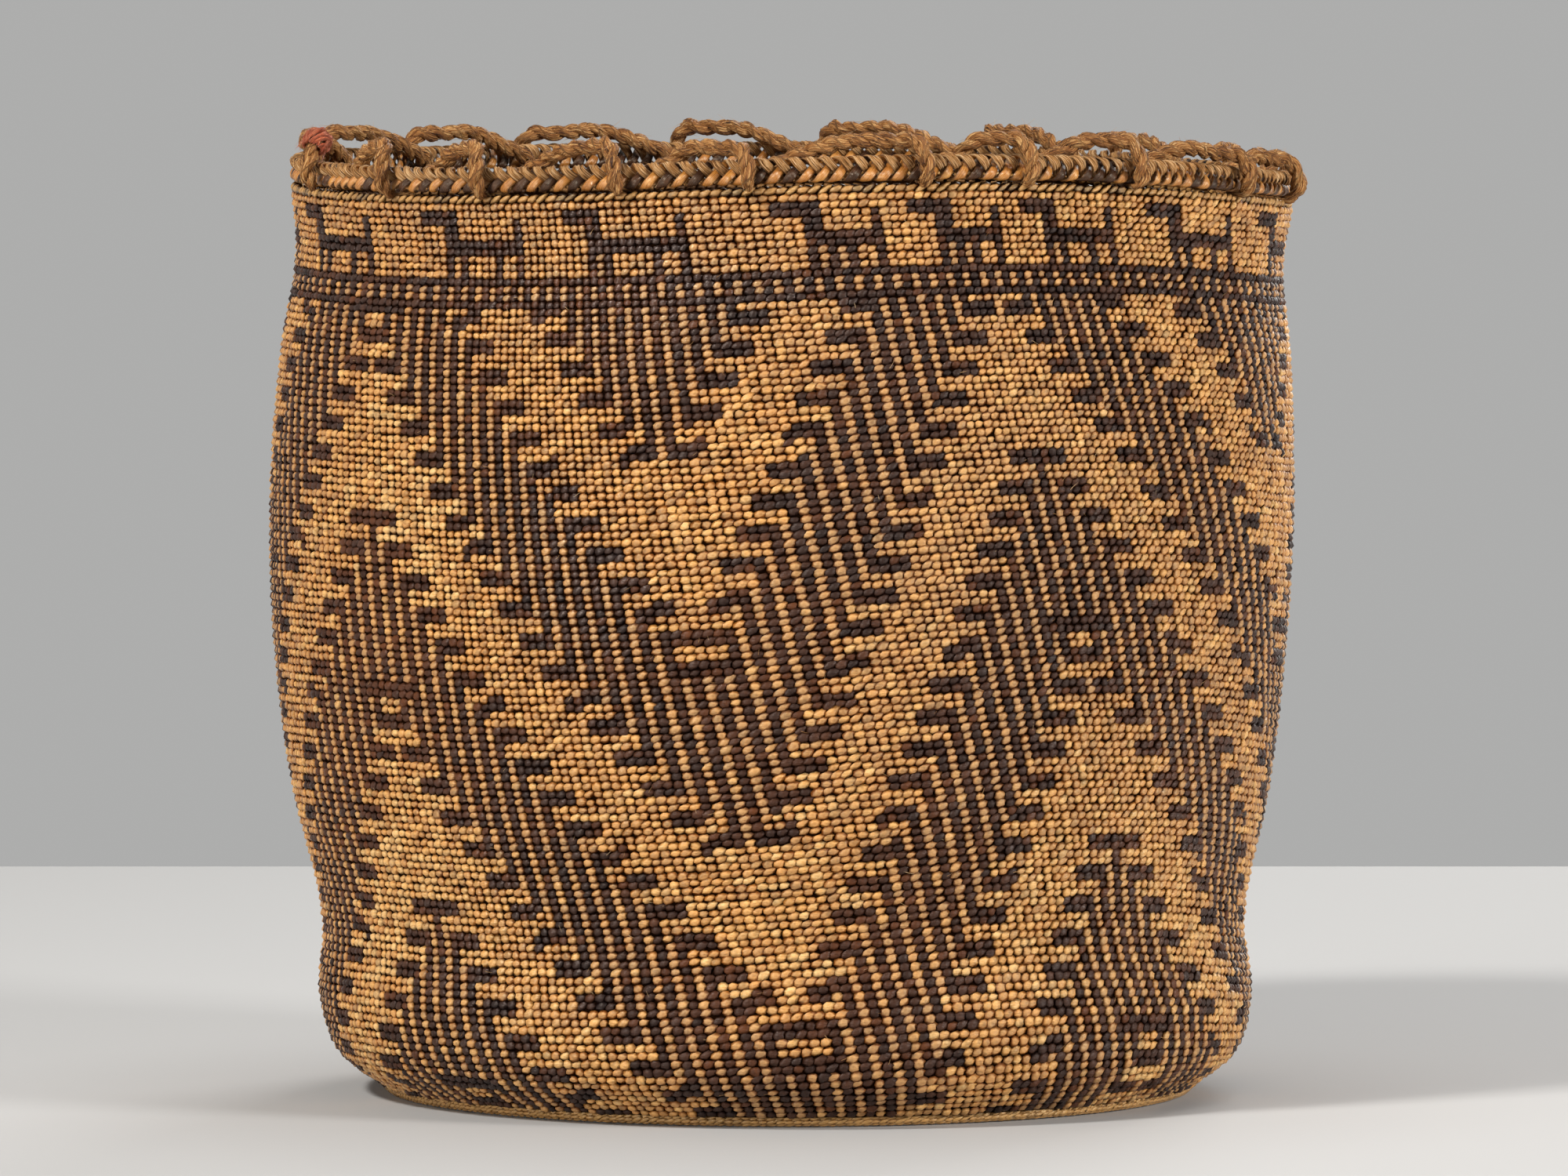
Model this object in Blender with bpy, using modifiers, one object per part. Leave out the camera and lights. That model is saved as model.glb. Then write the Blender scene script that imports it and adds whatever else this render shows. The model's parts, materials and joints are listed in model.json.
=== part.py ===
"""Twined storage basket with a plaited rim and a cord laced round it.

Metres, +Z up. The origin is the middle of the flat bottom, on the floor.
The front of the basket faces -Y, and angles round it are measured from the
front towards +X.

Pieces, from the floor up:
  base_disc          the flat twined bottom
  heel_row           the stout row that turns the bottom into the wall
  wall               the twined wall, one stiff woven shell
  border_row         the slanting row that closes the wall
  braid_strand_1-3   the three flat strands plaited along the rim
  loop_cord          one long cord hitched over the plait and through below it
  red_wool_binding   a short sleeve of wool on one of the cord's loops
"""

import math

import bmesh
import bpy
import numpy as np
from mathutils import Vector

# Clearance between pieces that touch
GAP = 0.0003

# The wall, measured on its outer face
BASE_RADIUS = 0.1280
BELLY_RADIUS = 0.1673
NECK_RADIUS = 0.1612
WALL_HEIGHT = 0.2925
WALL_THICKNESS = 0.0032

# How the wall runs out from the heel row, and how its lip turns out
FOOT_SLOPE = math.radians(40)
FOOT_RUN = 0.0186
LIP_FLARE = 0.0018

# The wall's outline above that run: how far out, from the end of the run to
# the belly, and how high, up to the wall's top
LOWER_OUTLINE_SHARES = ((0.24, 0.106), (0.16, 0.185), (0.64, 0.350), (1.00, 0.660))
# and from the belly to the neck: how far out, from the neck to the belly
UPPER_OUTLINE_SHARES = ((0.62, 0.830), (0.00, 0.955))

# How the soft wall has settled
SWAY = 0.0028
TOP_LEAN = 0.0010
DENT_DEPTH = 0.0012
DENT_COUNT = 3
DENT_PHASE = math.radians(65)
RIM_WAVE = 0.0026
# Waves round the rim: whole turns, share of RIM_WAVE, and degrees of the crest
RIM_WAVE_SHARES = ((1, 0.78, -43), (2, 1.00, 27), (3, 0.56, 80))

# The bottom and the row round its edge
BASE_THICKNESS = 0.0032
BASE_EDGE_ROUND = 0.0008
HEEL_ROW_RADIUS = 0.0022

# The border row on the wall's top, and how far the cord draws it down
BORDER_ROW_HEIGHT = 0.0037
BORDER_ROW_THICKNESS = 0.0034
BORDER_DIP = 0.0008

# The plait: strands that swing up and down, and in and out, round the rim
PLAIT_TURN_COUNT = 49
STRAND_COUNT = 3
STRAND_WIDTH = 0.0030
STRAND_THICKNESS = 0.0010
STRAND_ROLL = math.radians(30)
SWING_SHARE = 1.13
PLAIT_POINT_COUNT = 6
PLAIT_BOTTOM = math.radians(270)

# The cord, and where it is hitched, in steps of one plait crossing
CORD_RADIUS = 0.0022
CORD_PINCH_RADIUS = 0.0008
HUMP_RISE = 0.0032
HUMP_DROP = 0.0002
ARC_RISE = 0.0009
ARC_KNOT_STEP_COUNT = 5
FIRST_HITCH = -28
HITCH_STEPS = (7, 6, 7, 6, 8, 5, 6, 8, 7, 10, 7, 8, 7, 8, 7, 8, 7, 8, 17)
# How high each loop humps before its hitch: high at the front, low at the back
HUMP_SHARES = (1.0, 0.9, 0.8, 0.1, 0.4, 0.5, 0.7, 0.1, 0.1, 0.1, 0.2, 0.1, 0.3, 0.2, 0.5, 0.1, 0.2, 0.6, 1.0)
# The cord's end lies behind the plait, past this many knots of its first loop
CORD_SKIPPED_KNOT_COUNT = 2
CORD_LOOP_KNOT_COUNT = 8
CORD_STEP_COUNT = 2

# The wool on the cord's first loop
WOOL_THICKNESS = 0.0015
WOOL_LENGTH = 0.0120
WOOL_POINT_COUNT = 7

# Facets
WALL_SIDE_COUNT = 54
OUTLINE_STEP_COUNT = 2
BASE_SIDE_COUNT = 54

# Worked out from the sizes above
CROSSINGS = PLAIT_TURN_COUNT * STRAND_COUNT
CROSSING_ANGLE = math.tau / CROSSINGS
PLAIT_SWING = SWING_SHARE * STRAND_WIDTH
PLAIT_DEPTH = STRAND_WIDTH / 2 + STRAND_THICKNESS + GAP / 2
PLAIT_HALF_HEIGHT = PLAIT_SWING + STRAND_WIDTH / 2
PLAIT_HALF_DEPTH = PLAIT_DEPTH + STRAND_WIDTH / 2 * math.sin(STRAND_ROLL)


def smooth_samples(points, samples_between):
    """Return points on a smooth curve through the given ones.

    The curve is a cubic with a knot at each given point, spaced by the
    distances between them, so that close points don't make it overshoot.
    """
    knots = np.array(points, dtype=float)
    spans = np.linalg.norm(np.diff(knots[:, :3], axis=0), axis=1)
    at = np.concatenate(([0.0], np.cumsum(spans)))
    slopes = np.gradient(knots, at, axis=0)
    samples = []
    for i, span in enumerate(spans):
        for step in range(samples_between):
            t = step / samples_between
            samples.append(
                (2 * t**3 - 3 * t**2 + 1) * knots[i]
                + (t**3 - 2 * t**2 + t) * span * slopes[i]
                + (3 * t**2 - 2 * t**3) * knots[i + 1]
                + (t**3 - t**2) * span * slopes[i + 1]
            )
    samples.append(knots[-1])
    return np.array(samples)


def heel_row_centre():
    """Return the heel row's (radius, height), beside the bottom's edge."""
    return BASE_RADIUS + GAP + HEEL_ROW_RADIUS, HEEL_ROW_RADIUS + GAP


def wall_outline():
    """Return the wall's outer outline, foot to top, as (radius, height)."""
    row_radius, row_height = heel_row_centre()
    reach = HEEL_ROW_RADIUS + GAP
    half = WALL_THICKNESS / 2
    along = (math.cos(FOOT_SLOPE), math.sin(FOOT_SLOPE))
    outward = (math.sin(FOOT_SLOPE), -math.cos(FOOT_SLOPE))
    foot = (
        row_radius + reach * along[0] + half * outward[0],
        row_height + reach * along[1] + half * outward[1],
    )
    run_end = (foot[0] + FOOT_RUN * along[0], foot[1] + FOOT_RUN * along[1])
    swell = BELLY_RADIUS - run_end[0]
    draw_in = BELLY_RADIUS - NECK_RADIUS
    knots = [foot, run_end]
    knots += [(run_end[0] + out * swell, up * WALL_HEIGHT) for out, up in LOWER_OUTLINE_SHARES]
    knots += [(NECK_RADIUS + out * draw_in, up * WALL_HEIGHT) for out, up in UPPER_OUTLINE_SHARES]
    knots.append((NECK_RADIUS + LIP_FLARE, WALL_HEIGHT))
    fine = smooth_samples([(radius, 0.0, height) for radius, height in knots], OUTLINE_STEP_COUNT)
    return [(radius, height) for radius, _, height in fine]


def rim_wave(angle):
    """Return how much higher the rim stands at an angle than on average."""
    return RIM_WAVE * sum(
        share * math.cos(turns * angle - math.radians(crest)) for turns, share, crest in RIM_WAVE_SHARES
    )


def settle(radius, height, angle):
    """Return the point at a radius, height and angle of the settled basket."""
    share = min(max(0.0, height / WALL_HEIGHT), 1.0)
    bow = math.sin(math.pi * share)
    radius += DENT_DEPTH * bow * math.sin(DENT_COUNT * angle + DENT_PHASE)
    return Vector((
        radius * math.sin(angle) - SWAY * bow + TOP_LEAN * share,
        -radius * math.cos(angle),
        height + rim_wave(angle) * share**2,
    ))


def rim_seats():
    """Return the rim's radius and the heights of its border row and plait.

    Where the wall flares at its lip, its inner edge is higher than its outer.
    """
    (below_radius, below_height), (top_radius, top_height) = wall_outline()[-2:]
    flare = math.atan2(top_radius - below_radius, top_height - below_height)
    rim_radius = top_radius - WALL_THICKNESS / 2
    higher_edge = top_height + max(0.0, WALL_THICKNESS * math.sin(flare))
    border_height = higher_edge + GAP + BORDER_ROW_HEIGHT / 2
    plait_height = border_height + BORDER_ROW_HEIGHT / 2 + GAP + PLAIT_HALF_HEIGHT
    return rim_radius, border_height, plait_height


def plait_point(angle, outward, up):
    """Return a point beside the middle of the plait."""
    rim_radius, _, plait_height = rim_seats()
    return settle(rim_radius + outward, plait_height + up, angle)


def hitch_numbers():
    """Return the plait crossings at which the cord is hitched, in order."""
    numbers = [FIRST_HITCH]
    for steps in HITCH_STEPS:
        numbers.append(numbers[-1] + steps)
    return numbers


def link(collection, name, data):
    """Add an object that holds the data to a collection."""
    piece = bpy.data.objects.new(name, data)
    collection.objects.link(piece)
    return piece


def add_curve(collection, name, points, closed, sides_level, radius):
    """Add a tube along points given as (x, y, z) or (x, y, z, thickness)."""
    curve = bpy.data.curves.new(name, "CURVE")
    curve.dimensions = "3D"
    curve.twist_mode = "Z_UP"
    curve.bevel_depth = radius
    curve.bevel_resolution = sides_level
    curve.use_fill_caps = not closed
    spline = curve.splines.new("POLY")
    spline.points.add(len(points) - 1)
    spline.use_cyclic_u = closed
    for knot, point in zip(spline.points, points):
        knot.co = (point[0], point[1], point[2], 1.0)
        knot.radius = point[3] if len(point) > 3 else 1.0
    return link(collection, name, curve)


def paint(piece, colour, roughness):
    """Give a piece its own plain material."""
    material = bpy.data.materials.new(piece.name)
    material.use_nodes = True
    shader = material.node_tree.nodes["Principled BSDF"]
    shader.inputs["Base Color"].default_value = (*colour, 1.0)
    shader.inputs["Roughness"].default_value = roughness
    shader.inputs["Metallic"].default_value = 0.0
    piece.data.materials.append(material)


def make_base_disc(parts):
    """Turn the bottom: a thin disc with a rounded edge."""
    mesh = bpy.data.meshes.new("base_disc")
    outline = bmesh.new()
    corner = BASE_EDGE_ROUND
    half = BASE_THICKNESS / 2
    profile = [
        (0.0, BASE_THICKNESS),
        (BASE_RADIUS / 2, BASE_THICKNESS),
        (BASE_RADIUS - corner, BASE_THICKNESS),
        (BASE_RADIUS, half + corner / 2),
        (BASE_RADIUS, half - corner / 2),
        (BASE_RADIUS - corner, 0.0),
        (BASE_RADIUS / 2, 0.0),
        (0.0, 0.0),
    ]
    knots = [outline.verts.new((radius, 0.0, height)) for radius, height in profile]
    for first, second in zip(knots, knots[1:]):
        outline.edges.new((first, second))
    outline.to_mesh(mesh)
    outline.free()
    disc = link(parts, "base_disc", mesh)
    turn = disc.modifiers.new("turn", "SCREW")
    turn.axis = "Z"
    turn.steps = BASE_SIDE_COUNT
    turn.render_steps = BASE_SIDE_COUNT
    turn.use_merge_vertices = True
    turn.merge_threshold = GAP / 10
    paint(disc, (0.44, 0.28, 0.13), 0.75)


def make_heel_row(parts):
    """Lay the heel row round the bottom's edge."""
    radius, height = heel_row_centre()
    angles = [math.tau * i / BASE_SIDE_COUNT for i in range(BASE_SIDE_COUNT)]
    ring = [(radius * math.sin(a), -radius * math.cos(a), height) for a in angles]
    heel = add_curve(parts, "heel_row", ring, True, 1, HEEL_ROW_RADIUS)
    paint(heel, (0.47, 0.30, 0.14), 0.70)


def make_wall(parts):
    """Spin the wall's outline, settle it and give it its thickness."""
    shell = bmesh.new()
    outline = [shell.verts.new((radius, 0.0, height)) for radius, height in wall_outline()]
    edges = [shell.edges.new(pair) for pair in zip(outline, outline[1:])]
    bmesh.ops.spin(
        shell,
        geom=outline + edges,
        cent=(0.0, 0.0, 0.0),
        axis=(0.0, 0.0, 1.0),
        angle=math.tau,
        steps=WALL_SIDE_COUNT,
        use_merge=True,
    )
    for vert in shell.verts:
        angle = math.atan2(vert.co.x, -vert.co.y)
        vert.co = settle(math.hypot(vert.co.x, vert.co.y), vert.co.z, angle)
    bmesh.ops.recalc_face_normals(shell, faces=shell.faces)
    shell.normal_update()
    sample = max(shell.faces, key=lambda face: face.calc_center_median().x)
    if sample.normal.x < 0:
        bmesh.ops.reverse_faces(shell, faces=shell.faces)
    mesh = bpy.data.meshes.new("wall")
    shell.to_mesh(mesh)
    shell.free()
    mesh.shade_smooth()
    wall = link(parts, "wall", mesh)
    thicken = wall.modifiers.new("thickness", "SOLIDIFY")
    thicken.thickness = WALL_THICKNESS
    thicken.offset = -1.0
    paint(wall, (0.45, 0.28, 0.12), 0.70)


def make_section(guides, name, thickness, width):
    """Draw a flat section for a ring to be swept with."""
    section = bpy.data.curves.new(name, "CURVE")
    section.dimensions = "2D"
    spline = section.splines.new("POLY")
    spline.points.add(3)
    spline.use_cyclic_u = True
    for knot, (out, up) in zip(spline.points, ((-1, 1), (1, 1), (1, -1), (-1, -1))):
        knot.co = (out * thickness / 2, up * width / 2, 0.0, 1.0)
    guide = link(guides, name, section)
    guide.hide_render = True
    guide.display_type = "WIRE"
    return guide


def sweep(ring, section):
    """Sweep a ring with a section drawn beside it."""
    ring.data.bevel_mode = "OBJECT"
    ring.data.bevel_object = section


def make_border_row(parts, section):
    """Lay the border row on the wall, drawn down where the cord passes."""
    rim_radius, border_height, _ = rim_seats()
    hitches = {number % CROSSINGS for number in hitch_numbers()}
    ring = []
    for number in range(CROSSINGS):
        drawn = BORDER_DIP if number in hitches else 0.0
        point = settle(rim_radius, border_height - drawn / 2, number * CROSSING_ANGLE)
        ring.append((*point, 1.0 - drawn / BORDER_ROW_HEIGHT))
    border = add_curve(parts, "border_row", ring, True, 0, 0.0)
    sweep(border, section)
    paint(border, (0.48, 0.30, 0.13), 0.65)


def make_braid_strand(parts, section, number, colour):
    """Weave one of the strands of the plait round the rim.

    A strand swings once up and down for each turn of the plait, and twice
    in and out, so it goes over and under the other two by turns. Its points
    are the crossings and the top and bottom of each swing, half a crossing
    off the hitches. It rolls one way as it climbs and the other way as it
    drops, so that its edges clear the strands that it passes between.
    """
    points = []
    rolls = []
    count = PLAIT_TURN_COUNT * PLAIT_POINT_COUNT
    for i in range(count):
        angle = math.tau * i / count
        swing = PLAIT_BOTTOM + math.tau * ((i + 1) / PLAIT_POINT_COUNT - (number - 1) / STRAND_COUNT)
        outward = -PLAIT_DEPTH * math.sin(2 * swing)
        points.append(plait_point(angle, outward, PLAIT_SWING * math.sin(swing)))
        rolls.append(-STRAND_ROLL * round(math.cos(swing)))
    strand = add_curve(parts, f"braid_strand_{number}", points, True, 0, 0.0)
    for knot, roll in zip(strand.data.splines[0].points, rolls):
        knot.tilt = roll
    sweep(strand, section)
    paint(strand, colour, 0.55)


def cord_loop_route(number, steps, hump_share):
    """Return one loop of the cord's route, from one hitch to the next.

    It comes in under the plait, climbs behind it, runs along its top, humps
    over it at the next hitch and goes down in front of it. A knot is the
    angle in crossings, the places outward and up, and the thickness.
    """
    top_seat = PLAIT_HALF_HEIGHT + GAP + CORD_RADIUS
    face_seat = PLAIT_HALF_DEPTH + GAP + CORD_RADIUS
    pinch = CORD_PINCH_RADIUS / CORD_RADIUS
    under = CORD_PINCH_RADIUS - BORDER_DIP - PLAIT_HALF_HEIGHT
    half_strand = STRAND_WIDTH / 2
    hump_seat = top_seat + HUMP_RISE * hump_share
    beside = (steps - 2) // (2 * ARC_KNOT_STEP_COUNT)
    arc = [
        (steps / 2 + 0.30 + place * ARC_KNOT_STEP_COUNT, -face_seat / 2, top_seat + ARC_RISE, 1.0)
        for place in range(-beside, beside + 1)
    ]
    route = (
        (0.00, 0.0, under, pinch),
        (0.10, -face_seat * 0.80, under + half_strand / 2, (1 + pinch) / 2),
        (0.80, -face_seat, 0.0, 1.0),
        (2.00, -face_seat, PLAIT_SWING, 1.0),
        *arc,
        (steps - 1.10, 0.0, hump_seat, 1.0),
        (steps - 0.40, face_seat / 2, hump_seat - HUMP_DROP * hump_share, 1.0),
        (steps - 0.02, face_seat + GAP, PLAIT_SWING, 1.0),
        (steps + 0.04, face_seat + GAP, -PLAIT_SWING / 2, 1.0),
        (steps + 0.02, face_seat * 0.72, under + half_strand / 3, (1 + pinch) / 2),
    )
    return [((number + turn) * CROSSING_ANGLE, out, up, thick) for turn, out, up, thick in route]


def cord_points():
    """Return the cord's points as (x, y, z, thickness)."""
    numbers = hitch_numbers()
    route = []
    for number, steps, hump_share in zip(numbers, HITCH_STEPS, HUMP_SHARES):
        route += cord_loop_route(number, steps, hump_share)
    knots = [(*plait_point(angle, out, up), thick) for angle, out, up, thick in route]
    return smooth_samples(knots[CORD_SKIPPED_KNOT_COUNT:], CORD_STEP_COUNT)


def least_gap(points):
    """Return the least clear distance of the cord to a later part of itself."""
    places = points[:, :3]
    run = np.concatenate(([0.0], np.cumsum(np.linalg.norm(np.diff(places, axis=0), axis=1))))
    far = np.abs(run[:, None] - run[None, :]) > math.pi * 2 * CORD_RADIUS
    apart = np.linalg.norm(places[:, None, :] - places[None, :, :], axis=2)
    both = CORD_RADIUS * (points[:, 3][:, None] + points[:, 3][None, :])
    return float(np.min((apart - both)[far]))


def make_loop_cord(parts):
    """Lay the cord as one unbroken tube and print its least gap to itself."""
    points = cord_points()
    print(f"loop_cord: least gap to itself {least_gap(points) * 1000:.2f} mm")
    cord = add_curve(parts, "loop_cord", points, False, 1, CORD_RADIUS)
    paint(cord, (0.46, 0.27, 0.13), 0.85)
    return points


def tube_mesh(collection, name, points, radius):
    """Return an object with a closed tube's mesh, its caps welded."""
    tube = add_curve(collection, name + "_curve", points, False, 2, radius)
    bpy.context.view_layer.update()
    evaluated = tube.evaluated_get(bpy.context.evaluated_depsgraph_get())
    mesh = bpy.data.meshes.new_from_object(evaluated)
    welded = bmesh.new()
    welded.from_mesh(mesh)
    bmesh.ops.remove_doubles(welded, verts=welded.verts, dist=GAP / 30)
    bmesh.ops.recalc_face_normals(welded, faces=welded.faces)
    welded.to_mesh(mesh)
    welded.free()
    result = link(collection, name, mesh)
    result.matrix_world = tube.matrix_world
    bpy.data.objects.remove(tube)
    return result


def make_red_wool_binding(parts, guides, points):
    """Bind wool round the top of the cord's hump at the first hitch.

    The cord's last loop comes over the plait there.
    """
    places = points[:, :3]
    last_loop = places[-CORD_STEP_COUNT * CORD_LOOP_KNOT_COUNT:, 2]
    crest = len(places) - len(last_loop) + int(np.argmax(last_loop))
    run = np.concatenate(([0.0], np.cumsum(np.linalg.norm(np.diff(places, axis=0), axis=1))))

    def stretch(length, count):
        stops = np.linspace(run[crest] - length / 2, run[crest] + length / 2, count)
        return [tuple(np.interp(stop, run, places[:, axis]) for axis in range(3)) for stop in stops]

    bore = CORD_RADIUS + 2 * GAP
    sleeve = stretch(WOOL_LENGTH, WOOL_POINT_COUNT)
    wool = tube_mesh(parts, "red_wool_binding", sleeve, bore + WOOL_THICKNESS)
    cutter = tube_mesh(guides, "wool_bore", stretch(2 * WOOL_LENGTH, 2 * WOOL_POINT_COUNT), bore)
    cutter.hide_render = True
    cutter.display_type = "WIRE"
    cut = wool.modifiers.new("bore", "BOOLEAN")
    cut.operation = "DIFFERENCE"
    cut.solver = "EXACT"
    cut.object = cutter
    paint(wool, (0.47, 0.17, 0.11), 0.95)


def main():
    """Build every piece of the basket."""
    for old in list(bpy.data.objects):
        bpy.data.objects.remove(old)
    parts = bpy.data.collections.new("storage_basket")
    guides = bpy.data.collections.new("guides")
    bpy.context.scene.collection.children.link(parts)
    bpy.context.scene.collection.children.link(guides)

    make_base_disc(parts)
    make_heel_row(parts)
    make_wall(parts)
    make_border_row(parts, make_section(guides, "border_section", BORDER_ROW_THICKNESS, BORDER_ROW_HEIGHT))
    section = make_section(guides, "strand_section", STRAND_THICKNESS, STRAND_WIDTH)
    strand_colours = ((0.50, 0.32, 0.15), (0.17, 0.11, 0.08), (0.44, 0.28, 0.15))
    for number, colour in enumerate(strand_colours, start=1):
        make_braid_strand(parts, section, number, colour)
    points = make_loop_cord(parts)
    make_red_wool_binding(parts, guides, points)


main()
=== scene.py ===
"""Dressed model of a twined storage basket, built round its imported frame.

Metres, +Z up, the basket's front towards -Y. Angles round the basket are
measured from the front towards +X. Stitches are numbered in columns round
the wall and in rows from the foot up.
"""

import json
import logging
import math
from dataclasses import dataclass
from enum import Enum, IntEnum

import bpy
import numpy as np
from bpy.types import Collection, Material, Mesh, NodeSocket, Object
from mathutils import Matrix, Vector
from numpy import ndarray

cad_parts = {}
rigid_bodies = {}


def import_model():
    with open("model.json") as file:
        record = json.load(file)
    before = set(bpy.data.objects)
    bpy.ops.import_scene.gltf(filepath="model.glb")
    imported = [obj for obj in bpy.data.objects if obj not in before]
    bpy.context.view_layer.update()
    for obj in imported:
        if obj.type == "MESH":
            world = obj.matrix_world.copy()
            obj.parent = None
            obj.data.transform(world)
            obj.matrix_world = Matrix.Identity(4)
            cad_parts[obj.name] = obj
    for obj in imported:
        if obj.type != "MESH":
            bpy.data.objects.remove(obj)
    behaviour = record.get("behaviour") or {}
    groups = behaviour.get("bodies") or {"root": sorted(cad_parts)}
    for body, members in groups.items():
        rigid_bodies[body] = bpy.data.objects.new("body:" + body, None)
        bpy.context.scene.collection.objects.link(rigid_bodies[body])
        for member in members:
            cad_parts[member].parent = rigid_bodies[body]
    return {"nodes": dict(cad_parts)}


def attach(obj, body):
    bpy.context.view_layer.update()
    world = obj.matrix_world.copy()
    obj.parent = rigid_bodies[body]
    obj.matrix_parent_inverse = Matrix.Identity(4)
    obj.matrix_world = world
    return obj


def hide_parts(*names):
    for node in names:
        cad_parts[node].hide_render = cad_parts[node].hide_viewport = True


LOG = logging.getLogger("storage_basket")
ROOT = "root"
OWN_MAP = "OFBake"
NOISE_ROUGHNESS = 0.65
TURN = math.tau
UP = np.array([0.0, 0.0, 1.0])
Colour = tuple[float, float, float]
Place = tuple[float, float, float]
Pair = tuple[float, float]
Steps = tuple[Pair, ...]
Stops = tuple[tuple[float, Colour], ...]
Waves = tuple[tuple[int, float, float], ...]
Values = ndarray | float


class StitchKind(Enum):
    """The two wefts that the pattern is worked in."""

    LIGHT = "light"
    DARK = "dark"


class Draw(IntEnum):
    """The steady draws of random numbers, each with its own seed."""

    TONE = 3
    WEAR = 4
    WEFT = 5
    SIZE = 17
    SHIFT = 19
    BETWEEN = 23
    INSIDE = 31
    BOTTOM = 51
    HEEL = 53
    HEEL_WEAR = 54
    CROSSING = 83
    NIGHT = 85
    STRAY_NIGHT = 86
    WOOL = 95


# ------------ the basket's form


@dataclass(frozen=True)
class BasketForm:
    """The basket's own sizes and the settled surface of its wall."""

    gap: float = 0.0003
    base_radius: float = 0.1280
    base_thickness: float = 0.0032
    heel_row_radius: float = 0.0022
    belly_radius: float = 0.1673
    neck_radius: float = 0.1612
    wall_height: float = 0.2925
    wall_thickness: float = 0.0032
    foot_slope: float = math.radians(40)
    foot_run: float = 0.0186
    lip_flare: float = 0.0018
    lower_outline_shares: Steps = ((0.24, 0.106), (0.16, 0.185), (0.64, 0.350), (1.00, 0.660))
    upper_outline_shares: Steps = ((0.62, 0.830), (0.00, 0.955))
    sway: float = 0.0028
    top_lean: float = 0.0010
    dent_depth: float = 0.0012
    dent_count: int = 3
    dent_phase: float = math.radians(65)
    rim_rise: float = 0.0026
    rim_wave_shares: Waves = ((1, 0.78, -43), (2, 1.00, 27), (3, 0.56, 80))
    border_row_height: float = 0.0037
    border_row_thickness: float = 0.0034
    border_dip: float = 0.0008
    samples_between: int = 16

    def outline(self) -> ndarray:
        """Lay out the wall's outer outline.

        Returns:
            Rows of radius and height, from foot to lip.
        """
        row_radius = self.base_radius + self.gap + self.heel_row_radius
        row_height = self.heel_row_radius + self.gap
        reach = self.heel_row_radius + self.gap
        half = self.wall_thickness / 2
        run, climb = math.cos(self.foot_slope), math.sin(self.foot_slope)
        foot = (row_radius + reach * run + half * climb, row_height + reach * climb - half * run)
        run_end = (foot[0] + self.foot_run * run, foot[1] + self.foot_run * climb)
        knots = [foot, run_end]
        for out, up in self.lower_outline_shares:
            knots.append((run_end[0] + out * (self.belly_radius - run_end[0]), up * self.wall_height))
        for out, up in self.upper_outline_shares:
            knots.append((self.neck_radius + out * (self.belly_radius - self.neck_radius), up * self.wall_height))
        knots.append((self.neck_radius + self.lip_flare, self.wall_height))
        return smooth_samples(np.array(knots), self.samples_between)

    def rim_wave(self, angle: ndarray) -> ndarray:
        """Return how much higher the rim stands at an angle than on average."""
        return self.rim_rise * wave_sum(self.rim_wave_shares, angle)

    def settle(self, radius: ndarray, height: ndarray, angle: ndarray) -> ndarray:
        """Return points of the settled basket.

        Args:
            radius: Distance from the basket's axis before it settled.
            height: Height above the floor before it settled.
            angle: Angle round the basket, from the front towards +X.

        Returns:
            An array of points with x, y and z last.
        """
        share = np.clip(height / self.wall_height, 0.0, 1.0)
        bow = np.sin(math.pi * share)
        radius = radius + self.dent_depth * bow * np.sin(self.dent_count * angle + self.dent_phase)
        return np.stack([
            radius * np.sin(angle) - self.sway * bow + self.top_lean * share,
            -radius * np.cos(angle),
            height + self.rim_wave(angle) * share ** 2,
        ], axis=-1)

    def rim_seats(self) -> tuple[float, float, float]:
        """Find where the row above the wall sits.

        Returns:
            The rim's radius and the heights of the border row's middle and top.
        """
        halfway = -1 - self.samples_between // 2
        (below_radius, below_height), (top_radius, top_height) = self.outline()[[halfway, -1]]
        flare = math.atan2(top_radius - below_radius, top_height - below_height)
        higher_edge = top_height + max(0.0, self.wall_thickness * math.sin(flare))
        middle = higher_edge + self.gap + self.border_row_height / 2
        return top_radius - self.wall_thickness / 2, middle, middle + self.border_row_height / 2


def smooth_samples(knots: ndarray, between: int) -> ndarray:
    """Return points on a smooth curve through knots.

    Args:
        knots: Rows of coordinates. Their first three, or fewer, space the knots.
        between: Samples for each stretch between two knots.

    Returns:
        Rows like those of the knots, the last knot included.
    """
    spans = np.linalg.norm(np.diff(knots[:, :3], axis=0), axis=1)
    at = np.concatenate(([0.0], np.cumsum(spans)))
    slopes = np.gradient(knots, at, axis=0)
    t = (np.arange(between) / between)[None, :, None]
    span = spans[:, None, None]
    first, last = knots[:-1, None, :], knots[1:, None, :]
    out_slope, in_slope = slopes[:-1, None, :], slopes[1:, None, :]
    curve = (
        (2 * t ** 3 - 3 * t ** 2 + 1) * first + (t ** 3 - 2 * t ** 2 + t) * span * out_slope
        + (3 * t ** 2 - 2 * t ** 3) * last + (t ** 3 - t ** 2) * span * in_slope)
    return np.concatenate((curve.reshape(-1, knots.shape[1]), knots[-1:]))


def unit(vectors: ndarray) -> ndarray:
    """Return vectors scaled to length one."""
    return vectors / np.maximum(np.linalg.norm(vectors, axis=-1, keepdims=True), 1e-12)


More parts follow.
